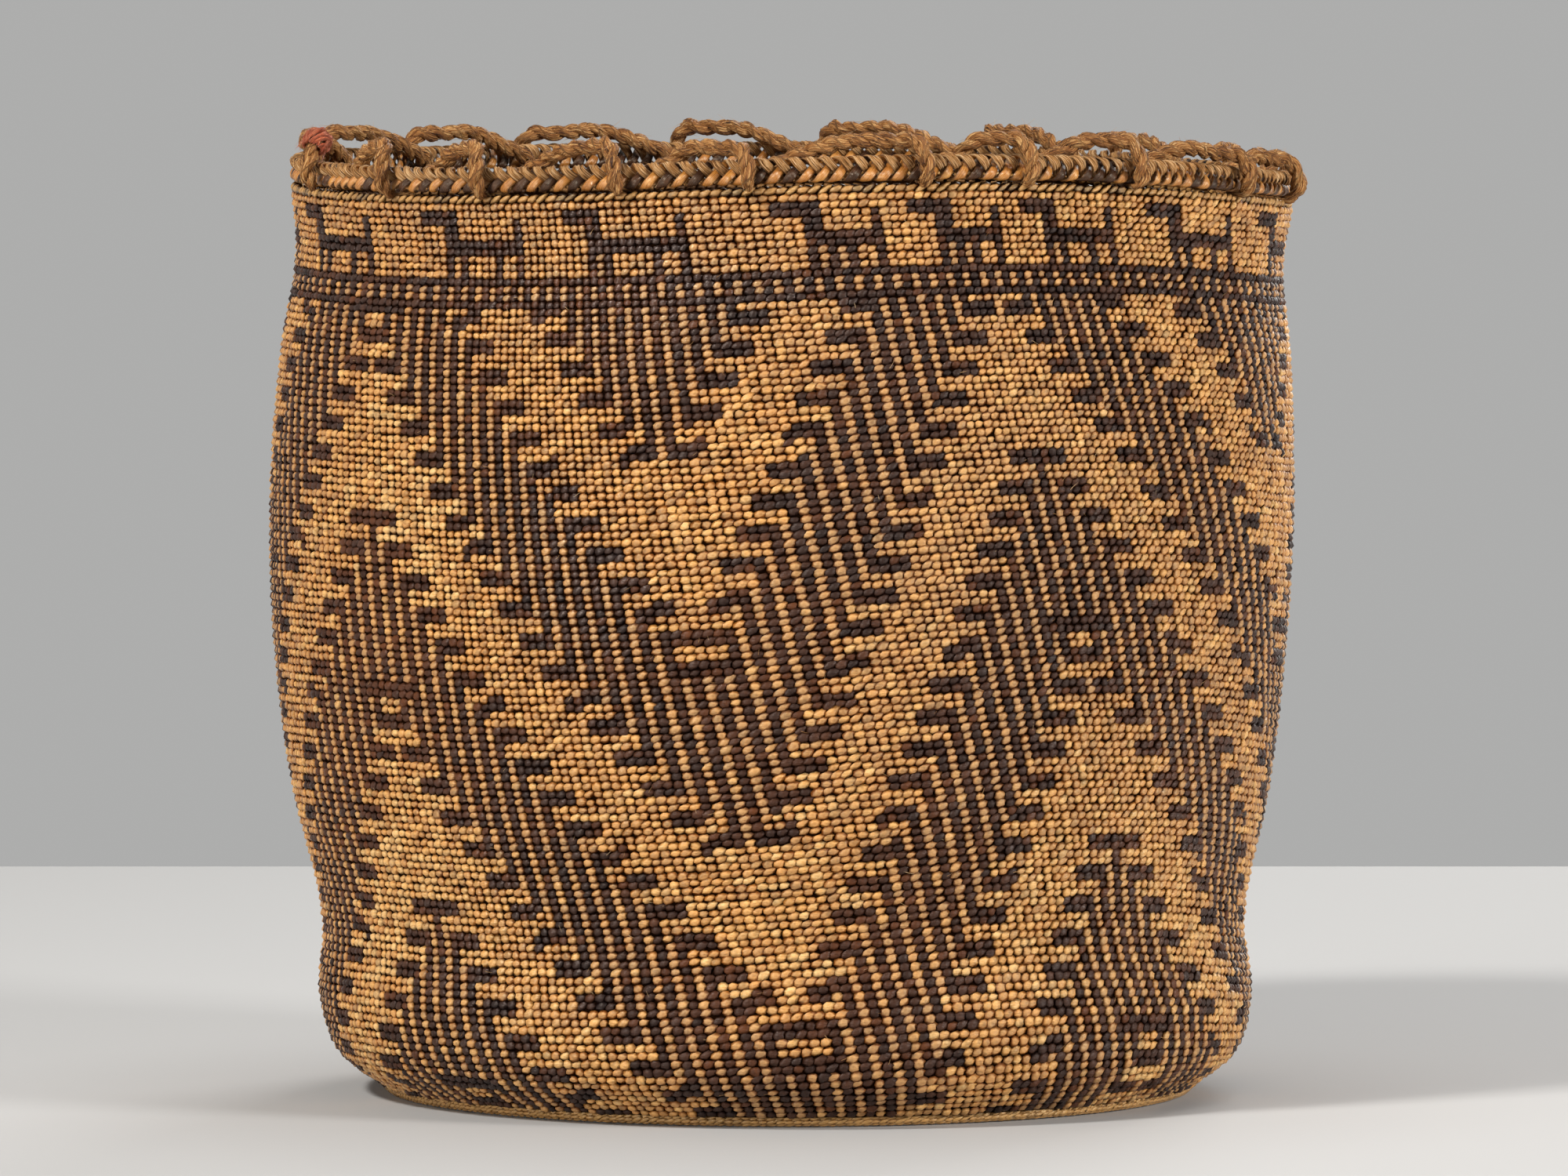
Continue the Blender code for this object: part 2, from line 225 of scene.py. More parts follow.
def steady_random(seed: int, *counts: ndarray) -> ndarray:
    """Draw numbers that are the same in every run.

    Args:
        seed: Which draw this is.
        counts: Whole numbers that each result depends on.

    Returns:
        A number from 0 to 1 for each set of whole numbers.
    """
    mixed = np.full(np.shape(counts[0]), seed, dtype=np.uint64) * np.uint64(0x9E3779B97F4A7C15)
    for number, count in enumerate(counts):
        mixed ^= np.asarray(count).astype(np.int64).astype(np.uint64) + np.uint64(977 * number + 11)
        for factor, shift in ((0xBF58476D1CE4E5B9, 29), (0x94D049BB133111EB, 32)):
            mixed *= np.uint64(factor)
            mixed ^= mixed >> np.uint64(shift)
    return (mixed >> np.uint64(11)).astype(np.float64) / float(1 << 53)


# ------------ directions, meshes and attributes


def level_out(angle: ndarray) -> ndarray:
    """Return level directions away from the basket's axis, by angle round it."""
    return np.column_stack((np.sin(angle), -np.cos(angle), np.zeros(len(angle))))


def level_along(angle: ndarray) -> ndarray:
    """Return level directions along the basket's round, by angle round it."""
    return np.column_stack((np.cos(angle), np.sin(angle), np.zeros(len(angle))))


def turned(first: ndarray, second: ndarray, angle: ndarray) -> ndarray:
    """Return directions turned by an angle from the first towards the second."""
    return first * np.cos(angle)[:, None] + second * np.sin(angle)[:, None]


def square_to(vectors: ndarray, axis: ndarray) -> ndarray:
    """Return directions like the vectors', but at right angles to the axis."""
    return unit(vectors - axis * np.sum(vectors * axis, axis=1, keepdims=True))


def varied(chance: ndarray, middle: float, reach: float) -> ndarray:
    """Return values round a middle, spread over a reach by numbers from 0 to 1."""
    return middle + reach * (chance - 0.5)


def rising(chance: ndarray, least: float, gain: float) -> ndarray:
    """Return values that rise from the least by the gain, by numbers from 0 to 1."""
    return least + gain * chance


def lumpy(run: ndarray, waves: tuple[Place, ...], number: int) -> ndarray:
    """Return one plus waves, each given by its height, its turns and its shift for each next strand."""
    return sum((height * np.sin(run * turns + number * shift) for height, turns, shift in waves), 1.0)


def new_mesh(name: str, points: ndarray, faces: list) -> Mesh:
    """Make a mesh.

    Args:
        name: Its name.
        points: Its points.
        faces: Its faces.

    Returns:
        The mesh.
    """
    mesh = bpy.data.meshes.new(name)
    mesh.from_pydata([tuple(point) for point in points], [], faces)
    return mesh


def new_object(name: str, data: bpy.types.ID) -> Object:
    """Put an object into the scene, at the origin.

    Args:
        name: Its name.
        data: Its mesh, light or camera.

    Returns:
        The object.
    """
    thing = bpy.data.objects.new(name, data)
    bpy.context.scene.collection.objects.link(thing)
    return thing


def set_marks(mesh: Mesh, marks: dict[str, ndarray]) -> None:
    """Store attributes on a mesh's points.

    Args:
        mesh: The mesh.
        marks: For each attribute's name, whole numbers, numbers or rows of three.
    """
    for name, values in marks.items():
        if values.ndim == 2:
            kind, field_name, number = "FLOAT_VECTOR", "vector", np.float32
        elif values.dtype.kind == "i":
            kind, field_name, number = "INT", "value", np.int32
        else:
            kind, field_name, number = "FLOAT", "value", np.float32
        stored = mesh.attributes.new(name, kind, "POINT").data
        stored.foreach_set(field_name, np.ascontiguousarray(values, dtype=number).ravel())


def set_map(mesh: Mesh, places: ndarray) -> None:
    """Give a mesh its own map, with a place for each corner of its faces."""
    mesh.uv_layers.new(name=OWN_MAP).data.foreach_set("uv", np.asarray(places).astype(np.float32).ravel())


def mesh_piece(name: str, points: ndarray, faces: list, material: Material, smooth: bool = False) -> Object:
    """Make a piece from points and faces.

    Args:
        name: Its name.
        points: Its points.
        faces: Its faces.
        material: Its finish.
        smooth: Whether its faces are shaded as one round surface.

    Returns:
        The piece.
    """
    mesh = new_mesh(name, points, faces)
    mesh.materials.append(material)
    if smooth:
        mesh.shade_smooth()
    return new_object(name, mesh)


def settled_mesh(piece: Object, spent: tuple[str, ...]) -> Object:
    """Turn a piece with modifiers into a plain mesh.

    Args:
        piece: The piece.
        spent: Attributes that it no longer needs.

    Returns:
        The same piece.
    """
    bpy.context.view_layer.update()
    evaluated = piece.evaluated_get(bpy.context.evaluated_depsgraph_get())
    mesh = bpy.data.meshes.new_from_object(evaluated)
    piece.modifiers.clear()
    old = piece.data
    piece.data = mesh
    bpy.data.meshes.remove(old)
    for name in spent:
        mesh.attributes.remove(mesh.attributes[name])
    mesh.name = piece.name
    return piece


def hand_over(piece: Object, node: str) -> None:
    """Let a piece ride on the basket and stand for a frame node.

    Args:
        piece: The piece.
        node: The frame node, which is hidden.
    """
    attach(piece, ROOT)
    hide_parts(node)
    LOG.info("%s: %d faces for %s", piece.name, len(piece.data.polygons), node)


def add_template(collection: Collection, name: str, points: ndarray, faces: list,
                 crest: ndarray, places: ndarray) -> None:
    """Add a small mesh to a collection of templates.

    Args:
        collection: Where it goes.
        name: Its name, which also gives its turn among the others.
        points: Its points.
        faces: Its faces.
        crest: Each point's crest.
        places: Each point's place on the mesh's own map.
    """
    mesh = new_mesh(name, points, faces)
    set_marks(mesh, {"crest": crest})
    corners = np.zeros(len(mesh.loops), np.int32)
    mesh.loops.foreach_get("vertex_index", corners)
    set_map(mesh, places[corners])
    mesh.shade_smooth()
    collection.objects.link(bpy.data.objects.new(name, mesh))


def drop_collection(collection: Collection) -> None:
    """Remove templates.

    Args:
        collection: The templates, which go with it.
    """
    for thing in list(collection.objects):
        bpy.data.objects.remove(thing)
    bpy.data.collections.remove(collection)


# ------------ rows, columns and pattern


@dataclass
class Weave:
    """Where each stitch of the wall sits: columns of warps, rows of wefts."""

    form: BasketForm
    columns: int = 296
    row_pitch: float = 0.00244
    row_pitch_shares: Steps = (
        (0.00, 1.06), (0.10, 1.08), (0.25, 1.04), (0.45, 1.05), (0.65, 1.02), (1.00, 0.97))
    lean: float = 0.433
    crowding: Waves = ((1, 0.061, -0.212), (2, 0.032, -0.054), (4, -0.013, 0.008), (5, 0.010, 0.017))
    low_rise: Waves = ((1, 0.0119, 7), (2, 0.0055, 25), (3, 0.0050, 127))
    high_rise: Waves = ((1, 0.0034, 81), (2, 0.0021, -126), (3, 0.0016, 126))
    rise_share: float = 0.12
    top_reach: float = 0.0019
    fine_steps: int = 4000

    def __post_init__(self) -> None:
        """Measure the outline once and lay the rows along it, up to the row of slanting stitches."""
        outline = self.form.outline()
        self.outline = np.concatenate((outline, outline[-1:] + unit(outline[-1:] - outline[-2:-1]) * self.top_reach))
        self.arc = np.concatenate(([0.0], np.cumsum(np.linalg.norm(np.diff(self.outline, axis=0), axis=1))))
        self.fine = np.linspace(0.0, self.arc[-1], self.fine_steps)
        at, shares = np.array(self.row_pitch_shares).T
        pitch = self.row_pitch * np.interp(self.fine / self.arc[-1], at, shares)
        self.passed = np.concatenate(([0.0], np.cumsum(np.diff(self.fine) / pitch[:-1])))
        self.rows = int(self.passed[-1])

    def place(self, column: ndarray, row: ndarray) -> ndarray:
        """Return points of the wall's outer face.

        Args:
            column: Column number, whole at a stitch's middle.
            row: Row number from the foot, a half at a stitch's middle.

        Returns:
            An array of points with x, y and z last.
        """
        length = self.arc[-1]
        arc = np.interp(row * self.passed[-1] / self.rows, self.passed, self.fine)
        share = arc / length
        even = TURN * column / self.columns + self.lean * (1.0 - share)
        angle = even + sum((low + change * share) * np.sin(waves * even) for waves, low, change in self.crowding)
        low_bump = (1.0 - share) * share / (share + self.rise_share)
        high_bump = 4.0 * share ** 2 * (1.0 - share)
        rise = low_bump * wave_sum(self.low_rise, angle) + high_bump * wave_sum(self.high_rise, angle)
        arc = np.clip(arc + rise, 0.0, length)
        radius, height = (np.interp(arc, self.arc, self.outline[:, axis]) for axis in (0, 1))
        return self.form.settle(radius, height, angle)

    def stitches(self, column: ndarray, row: ndarray) -> "StitchSites":
        """Find where stitches sit, how they face and how big their cells are.

        Args:
            column: Their columns.
            row: Their rows, whole at a stitch's foot.

        Returns:
            The sites.
        """
        middle = self.place(column, row + 0.5)
        across = self.place(column + 0.5, row + 0.5) - self.place(column - 0.5, row + 0.5)
        upwards = self.place(column, row + 1.0) - self.place(column, row)
        return StitchSites(middle, unit(np.cross(across, upwards)), unit(across),
                           np.linalg.norm(across, axis=-1), np.linalg.norm(upwards, axis=-1))


def wave_sum(waves: Waves, angle: ndarray) -> ndarray:
    """Return the sum of waves, each given by its turns, height and crest in degrees."""
    return sum(height * np.cos(turns * angle - math.radians(crest)) for turns, height, crest in waves)


@dataclass
class StitchSites:
    """Places of stitches: middles, outward and sideways directions, and cell sizes where they count."""

    middle: ndarray
    facing: ndarray
    along: ndarray
    wide: Values = 0.0
    high: Values = 0.0

    def only(self, chosen: ndarray) -> "StitchSites":
        """Return the chosen sites."""
        return StitchSites(self.middle[chosen], self.facing[chosen], self.along[chosen],
                           self.wide[chosen], self.high[chosen])

    def __len__(self) -> int:
        """Return how many sites there are."""
        return len(self.middle)


@dataclass(frozen=True)
class ZigzagPattern:
    """Which stitches are dark: a frieze of animals, a double line and zigzags.

    A zigzag band is made of upright dark columns one stitch wide with light
    ones between. From peak to valley each next column starts two stitches
    further out and four rows lower, and has a bar at its top, outwards, and
    one at its foot, inwards. Columns next to a peak or a valley join into
    nested square-cornered outlines.
    """

    columns: int = 296
    half_repeat: int = 37
    first_peak: int = -54
    peak_rows: tuple[int, ...] = (-62, -12, 38, 88)
    peak_drift: float = 3.0
    step_columns: int = 2
    step_rows: int = 4
    band_rows: int = 24
    bar_reach: int = 3
    bar_rows: int = 2
    line_rows: tuple[int, int] = (10, 13)
    first_animal: int = -68
    animal_steps: tuple[int, ...] = (22, 20, 24, 14, 14, 18, 19, 19, 18, 18, 18, 19, 18, 18, 19, 18)
    animal_share: float = 0.45
    animal_least: float = 4.5
    animal_parts: tuple[tuple[int, int, int, int], ...] = (
        (0, 4, 1, 2), (3, 4, 3, 4), (3, -1, 5, 6), (-1, -1, 2, 4),
        (3, 3, 7, 9), (5, 5, 7, 9), (-4, -4, 7, 9), (-1, -1, 7, 9))

    def dark(self, column: ndarray, row: ndarray) -> ndarray:
        """Tell which stitches are dark.

        Args:
            column: Their columns.
            row: Their rows, from the rim down.

        Returns:
            Whether each one is.
        """
        first, last = self.line_rows
        line = (row == first) | (row == last)
        dotted = (row > first) & (row < last) & (column % 2 == 0)
        frieze = (row < first) & self.animals(column, row)
        return line | dotted | frieze | ((row > last) & self.zigzags(column, row))

    def animals(self, column: ndarray, row: ndarray) -> ndarray:
        """Tell which stitches belong to the small four-legged animals.

        Each part is given by its first and last column and row. Columns
        below 0 count from the animal's tail, which stands further out the
        more room there is up to the next animal.

        Args:
            column: Their columns.
            row: Their rows, from the rim down.

        Returns:
            Whether each one does.
        """
        around = (column - self.first_animal) % self.columns
        found = np.zeros(np.shape(column), bool)
        start = 0
        for step in self.animal_steps:
            width = round(self.animal_least + self.animal_share * step)
            for left, right, top, bottom in self.animal_parts:
                first = start + (left if left >= 0 else width + left)
                last = start + (right if right >= 0 else width + right)
                found |= (around >= first) & (around <= last) & (row >= top) & (row <= bottom)
            start += step
        return found

    def zigzags(self, column: ndarray, row: ndarray) -> ndarray:
        """Tell which stitches belong to the dark columns and bars of the zigzags.

        Args:
            column: Their columns.
            row: Their rows, from the rim down.

        Returns:
            Whether each one does.
        """
        repeat = 2 * self.half_repeat
        across = (column - self.first_peak) % repeat
        from_peak = np.minimum(across, repeat - across)
        drift = np.round(self.peak_drift * np.cos(TURN * (column - self.first_peak) / (2 * repeat)))
        found = np.zeros(np.shape(column), bool)
        for start in self.peak_rows:
            below = row - start - drift
            found |= self.band(from_peak, below)
        return found

    def band(self, from_peak: ndarray, below: ndarray) -> ndarray:
        """Tell which stitches belong to one band.

        Args:
            from_peak: How many columns they are from its peak.
            below: How many rows below its top row.

        Returns:
            Whether each one does.
        """
        step = from_peak // self.step_columns
        top = step * self.step_rows
        found = (from_peak % self.step_columns == 0) & (below >= top) & (below < top + self.band_rows)
        last = self.half_repeat // self.step_columns
        folded = (from_peak, -from_peak, 2 * self.half_repeat - from_peak)
        for number in range(last + 1):
            here = number * self.step_columns
            top = number * self.step_rows
            foot = top + self.band_rows - self.bar_rows
            for place in folded:
                upper = (place >= here) & (place <= here + self.bar_reach)
                lower = (place <= here) & (place >= here - self.bar_reach)
                found |= upper & (below >= top) & (below < top + self.bar_rows)
                found |= lower & (below >= foot) & (below < foot + self.bar_rows)
        return found


# ------------ finishes


class Sheet:
    """A node tree that is laid out in code."""

    def __init__(self, tree: bpy.types.NodeTree) -> None:
        """Keep the tree."""
        self.tree = tree

    def feed(self, node: bpy.types.Node, inputs: dict) -> None:
        """Feed a node.

        Args:
            node: The node.
            inputs: For each input, by name or number, a value or the socket that feeds it.
        """
        for name, value in inputs.items():
            socket = node.inputs[name]
            if isinstance(value, NodeSocket):
                self.tree.links.new(value, socket)
            else:
                socket.default_value = (*value, 1.0) if socket.type == "RGBA" else value

    def add(self, kind: str, inputs: dict | None = None, **settings: object) -> bpy.types.Node:
        """Add a node.

        Args:
            kind: The node's type.
            inputs: For each input, by name or number, a value or the socket that feeds it.
            settings: Properties of the node.

        Returns:
            The new node.
        """
        node = self.tree.nodes.new(kind)
        for name, value in settings.items():
            setattr(node, name, value)
        self.feed(node, inputs or {})
        return node

    def math(self, operation: str, first: object, second: object = 0.0, **settings: object) -> NodeSocket:
        """Return the result of one sum on two values."""
        return self.add("ShaderNodeMath", {0: first, 1: second}, operation=operation, **settings).outputs[0]

    def scale(self, vector: NodeSocket, factor: object) -> NodeSocket:
        """Return a vector times a factor."""
        return self.add("ShaderNodeVectorMath", {0: vector, "Scale": factor}, operation="SCALE").outputs[0]

    def mark(self, name: str) -> NodeSocket:
        """Return a piece's attribute."""
        return self.add("ShaderNodeAttribute", attribute_name=name).outputs["Fac"]

    def place(self) -> NodeSocket:
        """Return the place on the piece, in metres."""
        return self.add("ShaderNodeTexCoord").outputs["Object"]

    def noise(self, vector: NodeSocket, scale: float, detail: float = 3.0) -> NodeSocket:
        """Return a noise from 0 to 1."""
        return self.add("ShaderNodeTexNoise", {
            "Vector": vector, "Scale": scale, "Detail": detail, "Roughness": NOISE_ROUGHNESS}).outputs["Fac"]

    def blend(self, first: NodeSocket, second: NodeSocket, shares: Pair) -> NodeSocket:
        """Return the sum of two values, each times its share."""
        parts = [self.math("MULTIPLY", value, share) for value, share in zip((first, second), shares)]
        return self.math("ADD", *parts)

    def ramp(self, factor: NodeSocket, stops: Stops) -> NodeSocket:
        """Add a colour that runs through stops as a factor goes from 0 to 1.

        Args:
            factor: The factor.
            stops: Where each colour stands.

        Returns:
            The colour.
        """
        node = self.add("ShaderNodeValToRGB", {0: factor})
        band = node.color_ramp
        while len(band.elements) < len(stops):
            band.elements.new(0.5)
        for element, (at, colour) in zip(band.elements, stops):
            element.position = at
            element.color = (*colour, 1.0)
        return node.outputs["Color"]

    def steps(self, factor: NodeSocket, stops: Steps) -> NodeSocket:
        """Return a grey value that runs through stops."""
        return self.ramp(factor, tuple((at, (value, value, value)) for at, value in stops))

    def remap(self, value: NodeSocket, low: float, high: float) -> NodeSocket:
        """Return a value from 0 to 1 mapped to the range from low to high."""
        return self.add("ShaderNodeMapRange", {0: value, 1: 0.0, 2: 1.0, 3: low, 4: high}).outputs[0]

    def mix(self, factor: NodeSocket, first: object, second: object) -> NodeSocket:
        """Return the mix of two colours."""
        return self.add("ShaderNodeMix", {0: factor, 6: first, 7: second}, data_type="RGBA").outputs[2]

    def dress(self, inputs: dict) -> None:
        """Give inputs to the material's shader."""
        self.feed(self.tree.nodes["Principled BSDF"], inputs)

    def bump(self, height: NodeSocket, strength: object, distance: float) -> NodeSocket:
        """Return the bumped facing of the surface."""
        return self.add("ShaderNodeBump", {
            "Height": height, "Strength": strength, "Distance": distance}).outputs[0]


def new_material(name: str) -> tuple[Material, Sheet]:
    """Make a material.

    Args:
        name: Its name.

    Returns:
        The material and the sheet of its nodes.
    """
    material = bpy.data.materials.new(name)
    material.use_nodes = True
    return material, Sheet(material.node_tree)


@dataclass(frozen=True)
class FibreFinish:
    """Plant fibre whose colour follows each stitch's tone and wear.

    The tone attribute picks a colour between the stops, the worn one mixes
    in the colour of old, rubbed fibre, and the gloss one smooths it. The
    crest attribute is 0 where a stitch sinks between its neighbours, 0.6 to
    0.84 along its raised edge, more at the upper side, and 1 in the middle.
    Through the crest, the edge colour is a painted highlight on the upper
    raised edge and the middle, and the shade colour is painted shade where
    the stitch sinks and on its lower side; random blotches bring in that
    dark colour too.
    """

    name: str
    stops: Stops
    worn: Colour
    # Painted highlight colour for the upper raised edge and the middle of each stitch.
    edge: Colour
    # Painted shade where a stitch sinks between its neighbours and on its lower side; random blotches also mix it in.
    shade_and_blotch: Colour
    edge_highlight_share: float = 0.35
    streak_scale: float = 1100.0
    streak_stretch: tuple[float, float, float] = (0.45, 0.45, 1.8)
    streak_share: float = 0.55
    blotch_scale_share: float = 0.25
    edge_highlight_steps: Steps = ((0.60, 0.0), (0.84, 1.0), (1.0, 0.7))
    blotch_steps: Steps = ((0.45, 0.0), (0.72, 0.45))
    top_steps: Steps = ((0.32, 0.0), (0.62, 0.62), (0.82, 1.0))
    roughness: Pair = (0.34, 0.62)
    bump: float = 0.80
    bump_distance: float = 0.0005
    specular: float = 0.34
    gloss: Colour = (1.0, 0.92, 0.80)
    gloss_gain: float = 0.20
    shine_gain: float = 2.0

    def make(self) -> Material:
        """Build the finish.

        Returns:
            The material.
        """
        material, sheet = new_material(self.name)
        crest, place = sheet.mark("crest"), sheet.place()
        stretched = sheet.add("ShaderNodeMapping", {"Vector": place, "Scale": self.streak_stretch}).outputs[0]
        streaks = sheet.noise(stretched, self.streak_scale)
        blotches = sheet.noise(place, self.streak_scale * self.blotch_scale_share, 2.0)
        shift = sheet.remap(streaks, -self.streak_share, self.streak_share)
        colour = sheet.ramp(sheet.math("ADD", sheet.mark("tone"), shift, use_clamp=True), self.stops)
        colour = sheet.mix(sheet.mark("worn"), colour, self.worn)
        # Painted highlight: the pale edge colour, strongest on the upper raised edge.
        edge = sheet.math("MULTIPLY", sheet.steps(crest, self.edge_highlight_steps), self.edge_highlight_share)
        colour = sheet.mix(edge, colour, self.edge)
        # Random blotches of the same dark colour.
        colour = sheet.mix(sheet.steps(blotches, self.blotch_steps), colour, self.shade_and_blotch)
        # Painted shade: the dark colour takes over where the crest is low, in the sinks between stitches and on their
        # lower sides.
        top = sheet.steps(crest, self.top_steps)
        smooth = sheet.math("MULTIPLY", sheet.mark("gloss"), self.gloss_gain)
        shine = sheet.math("ADD", sheet.math("MULTIPLY", smooth, self.shine_gain), self.specular)
        # The export drops a linked specular level, so the plain one is set under the link.
        sheet.dress({"Specular IOR Level": self.specular})
        sheet.dress({
            "Base Color": sheet.mix(top, self.shade_and_blotch, colour),
            "Roughness": sheet.math("SUBTRACT", sheet.remap(streaks, *self.roughness), smooth),
            "Specular IOR Level": sheet.math("MULTIPLY", top, shine), "Specular Tint": self.gloss,
            "Normal": sheet.bump(streaks, self.bump, self.bump_distance)})
        return material


# In each fibre finish below, the edge colour is a painted highlight and the shade colour is painted shade, which random
# blotches also bring in.
LIGHT_FIBRE = FibreFinish(
    "light_fibre",
    ((0.00, (0.090, 0.020, 0.002)), (0.30, (0.330, 0.092, 0.010)), (0.60, (0.575, 0.208, 0.033)),
     (0.86, (0.790, 0.384, 0.095)), (1.00, (0.870, 0.545, 0.220))),
    worn=(0.250, 0.108, 0.048), edge=(0.860, 0.530, 0.215), shade_and_blotch=(0.022, 0.004, 0.001),
    edge_highlight_share=0.40, roughness=(0.30, 0.54), specular=0.60, gloss=(1.0, 0.87, 0.64))
DARK_FIBRE = FibreFinish(
    "dark_fibre",
    ((0.00, (0.008, 0.005, 0.005)), (0.40, (0.019, 0.012, 0.010)), (0.70, (0.044, 0.023, 0.017)),
     (1.00, (0.100, 0.042, 0.023))),
    worn=(0.150, 0.045, 0.012), edge=(0.040, 0.022, 0.016), shade_and_blotch=(0.004, 0.001, 0.001),
    edge_highlight_share=0.25, roughness=(0.32, 0.54), specular=0.24, gloss=(1.0, 0.86, 0.80))
INNER_FIBRE = FibreFinish(
    "inner_fibre",
    ((0.00, (0.050, 0.026, 0.015)), (0.25, (0.12, 0.055, 0.024)), (0.40, (0.33, 0.150, 0.048)),
     (1.00, (0.54, 0.290, 0.100))),
    worn=(0.20, 0.090, 0.038), edge=(0.60, 0.35, 0.14), shade_and_blotch=(0.036, 0.012, 0.004),
    edge_highlight_share=0.3, streak_share=0.14)
BORDER_FIBRE = FibreFinish(
    "border_fibre",
    ((0.00, (0.030, 0.016, 0.010)), (0.25, (0.14, 0.060, 0.022)), (0.45, (0.46, 0.205, 0.055)),
     (1.00, (0.56, 0.300, 0.090))),
    worn=(0.18, 0.080, 0.030), edge=(0.70, 0.42, 0.16), shade_and_blotch=(0.020, 0.005, 0.001),
    streak_share=0.26, roughness=(0.20, 0.42), specular=0.8, gloss=(1.0, 0.88, 0.64))
# Near-black painted shade for the gaps between stitches: on the wall's shell, the bottom's core and the border's band.
SHADE_FIBRE = FibreFinish(
    "shade_fibre",
    ((0.00, (0.010, 0.004, 0.002)), (1.00, (0.034, 0.013, 0.005))),
    worn=(0.02, 0.008, 0.003), edge=(0.02, 0.008, 0.003), shade_and_blotch=(0.008, 0.003, 0.001),
    roughness=(0.85, 0.98), specular=0.05)
HAIR_FIBRE = FibreFinish(
    "hair_fibre",
    ((0.00, (0.34, 0.160, 0.055)), (0.60, (0.66, 0.40, 0.17)), (1.00, (0.84, 0.64, 0.38))),
    worn=(0.5, 0.3, 0.15), edge=(0.7, 0.5, 0.28), shade_and_blotch=(0.30, 0.140, 0.050), edge_highlight_share=0.0)


# ------------ stitches


@dataclass(frozen=True)
class StitchShape:
    """One stitch as a small closed bead, pointed at its upper right end.

    Its length and width are one, its raised edge stands at height one, and
    it sinks to a point below the wall's face. A shape without a raised edge
    rises straight from its rim to a ridge. The crest of its rim and of its
    raised edge is given by its middle and by how fast it grows upwards; the
    fibre finishes turn that upward growth into a painted highlight on the
    upper side and painted shade on the lower side.
    """

    name: str
    rim: tuple[Place, ...]
    edge: tuple[Place, ...]
    heart: Place
    root: Place
    variants: int
    jitter: float
    rim_crest: Pair = (0.40, 0.14)
    edge_crest: Pair = (0.73, 0.33)
    map_share: float = 0.80
    map_margin: float = 0.03
    root_on_map: Pair = (0.96, 0.04)

    def faces(self) -> list[tuple[int, ...]]:
        """List the bead's faces.

        Returns:
            The numbers of their rim, edge, heart and root points.
        """
        count = len(self.rim)
        if len(self.edge) != count:
            return [(3, 2, 1, 0), (0, 1, 5, 4), (2, 3, 4, 5), (1, 2, 5), (3, 0, 4)]
        faces = []
        for i in range(count):
            j = (i + 1) % count
            faces += [(i, j, count + j, count + i), (count + i, count + j, 2 * count), (j, i, 2 * count + 1)]
        return faces

    def make(self, seed: int) -> Collection:
        """Build the variants of the bead.

        Args:
            seed: What they vary by.

        Returns:
            A collection of them.
        """
        chance = np.random.default_rng(seed)
        collection = bpy.data.collections.new(self.name)
        count, ridge = len(self.rim), len(self.edge)
        rounded = ridge == count
        shape = np.array([*self.rim, *self.edge, *((self.heart, self.root) if rounded else ())])
        # Crest that grows upwards: painted highlight on the bead's upper side, painted shade on its lower side.
        crest = np.concatenate((
            self.rim_crest[0] + self.rim_crest[1] * shape[:count, 1],
            self.edge_crest[0] + self.edge_crest[1] * shape[count:count + ridge, 1],
            (1.0, 0.0) if rounded else ()))
        for number in range(self.variants):
            points = shape.copy()
            points[:count, :2] *= 1 + chance.normal(0, self.jitter, (count, 1))
            points[count:count + ridge] += chance.normal(0, self.jitter / 2, (ridge, 3)) * (1, 1, 0.8)
            points[:count, 2] += chance.normal(0, self.jitter / 2, count)
            places = points[:, :2] * self.map_share + 0.5
            if rounded:
                places[-1] = self.root_on_map
            add_template(collection, f"{self.name}_{number}", points, self.faces(), crest,
                         np.clip(places, self.map_margin, 1 - self.map_margin))
        return collection


OUTER_BEAD = StitchShape(
    "outer_bead",
    rim=((-0.52, -0.06, 0.22), (-0.36, -0.38, 0.16), (-0.02, -0.51, 0.14), (0.34, -0.36, 0.20),
         (0.60, 0.10, 0.34), (0.36, 0.41, 0.28), (0.00, 0.50, 0.24), (-0.38, 0.34, 0.24)),
    edge=((-0.37, -0.03, 0.62), (-0.23, -0.24, 0.54), (0.00, -0.31, 0.50), (0.23, -0.20, 0.56),
          (0.39, 0.09, 0.66), (0.21, 0.28, 0.70), (-0.02, 0.33, 0.70), (-0.25, 0.22, 0.70)),
    heart=(0.10, -0.07, 1.0), root=(0.0, 0.0, -1.0), variants=12, jitter=0.09)
INNER_BEAD = StitchShape(
    "inner_bead",
    rim=((-0.52, -0.12, 0.0), (0.18, -0.48, 0.0), (0.54, 0.12, 0.0), (-0.18, 0.48, 0.0)),
    edge=((-0.20, 0.0, 1.0), (0.20, 0.0, 1.0)),
    heart=(0.0, 0.0, 1.0), root=(0.0, 0.0, -1.0), variants=2, jitter=0.06)


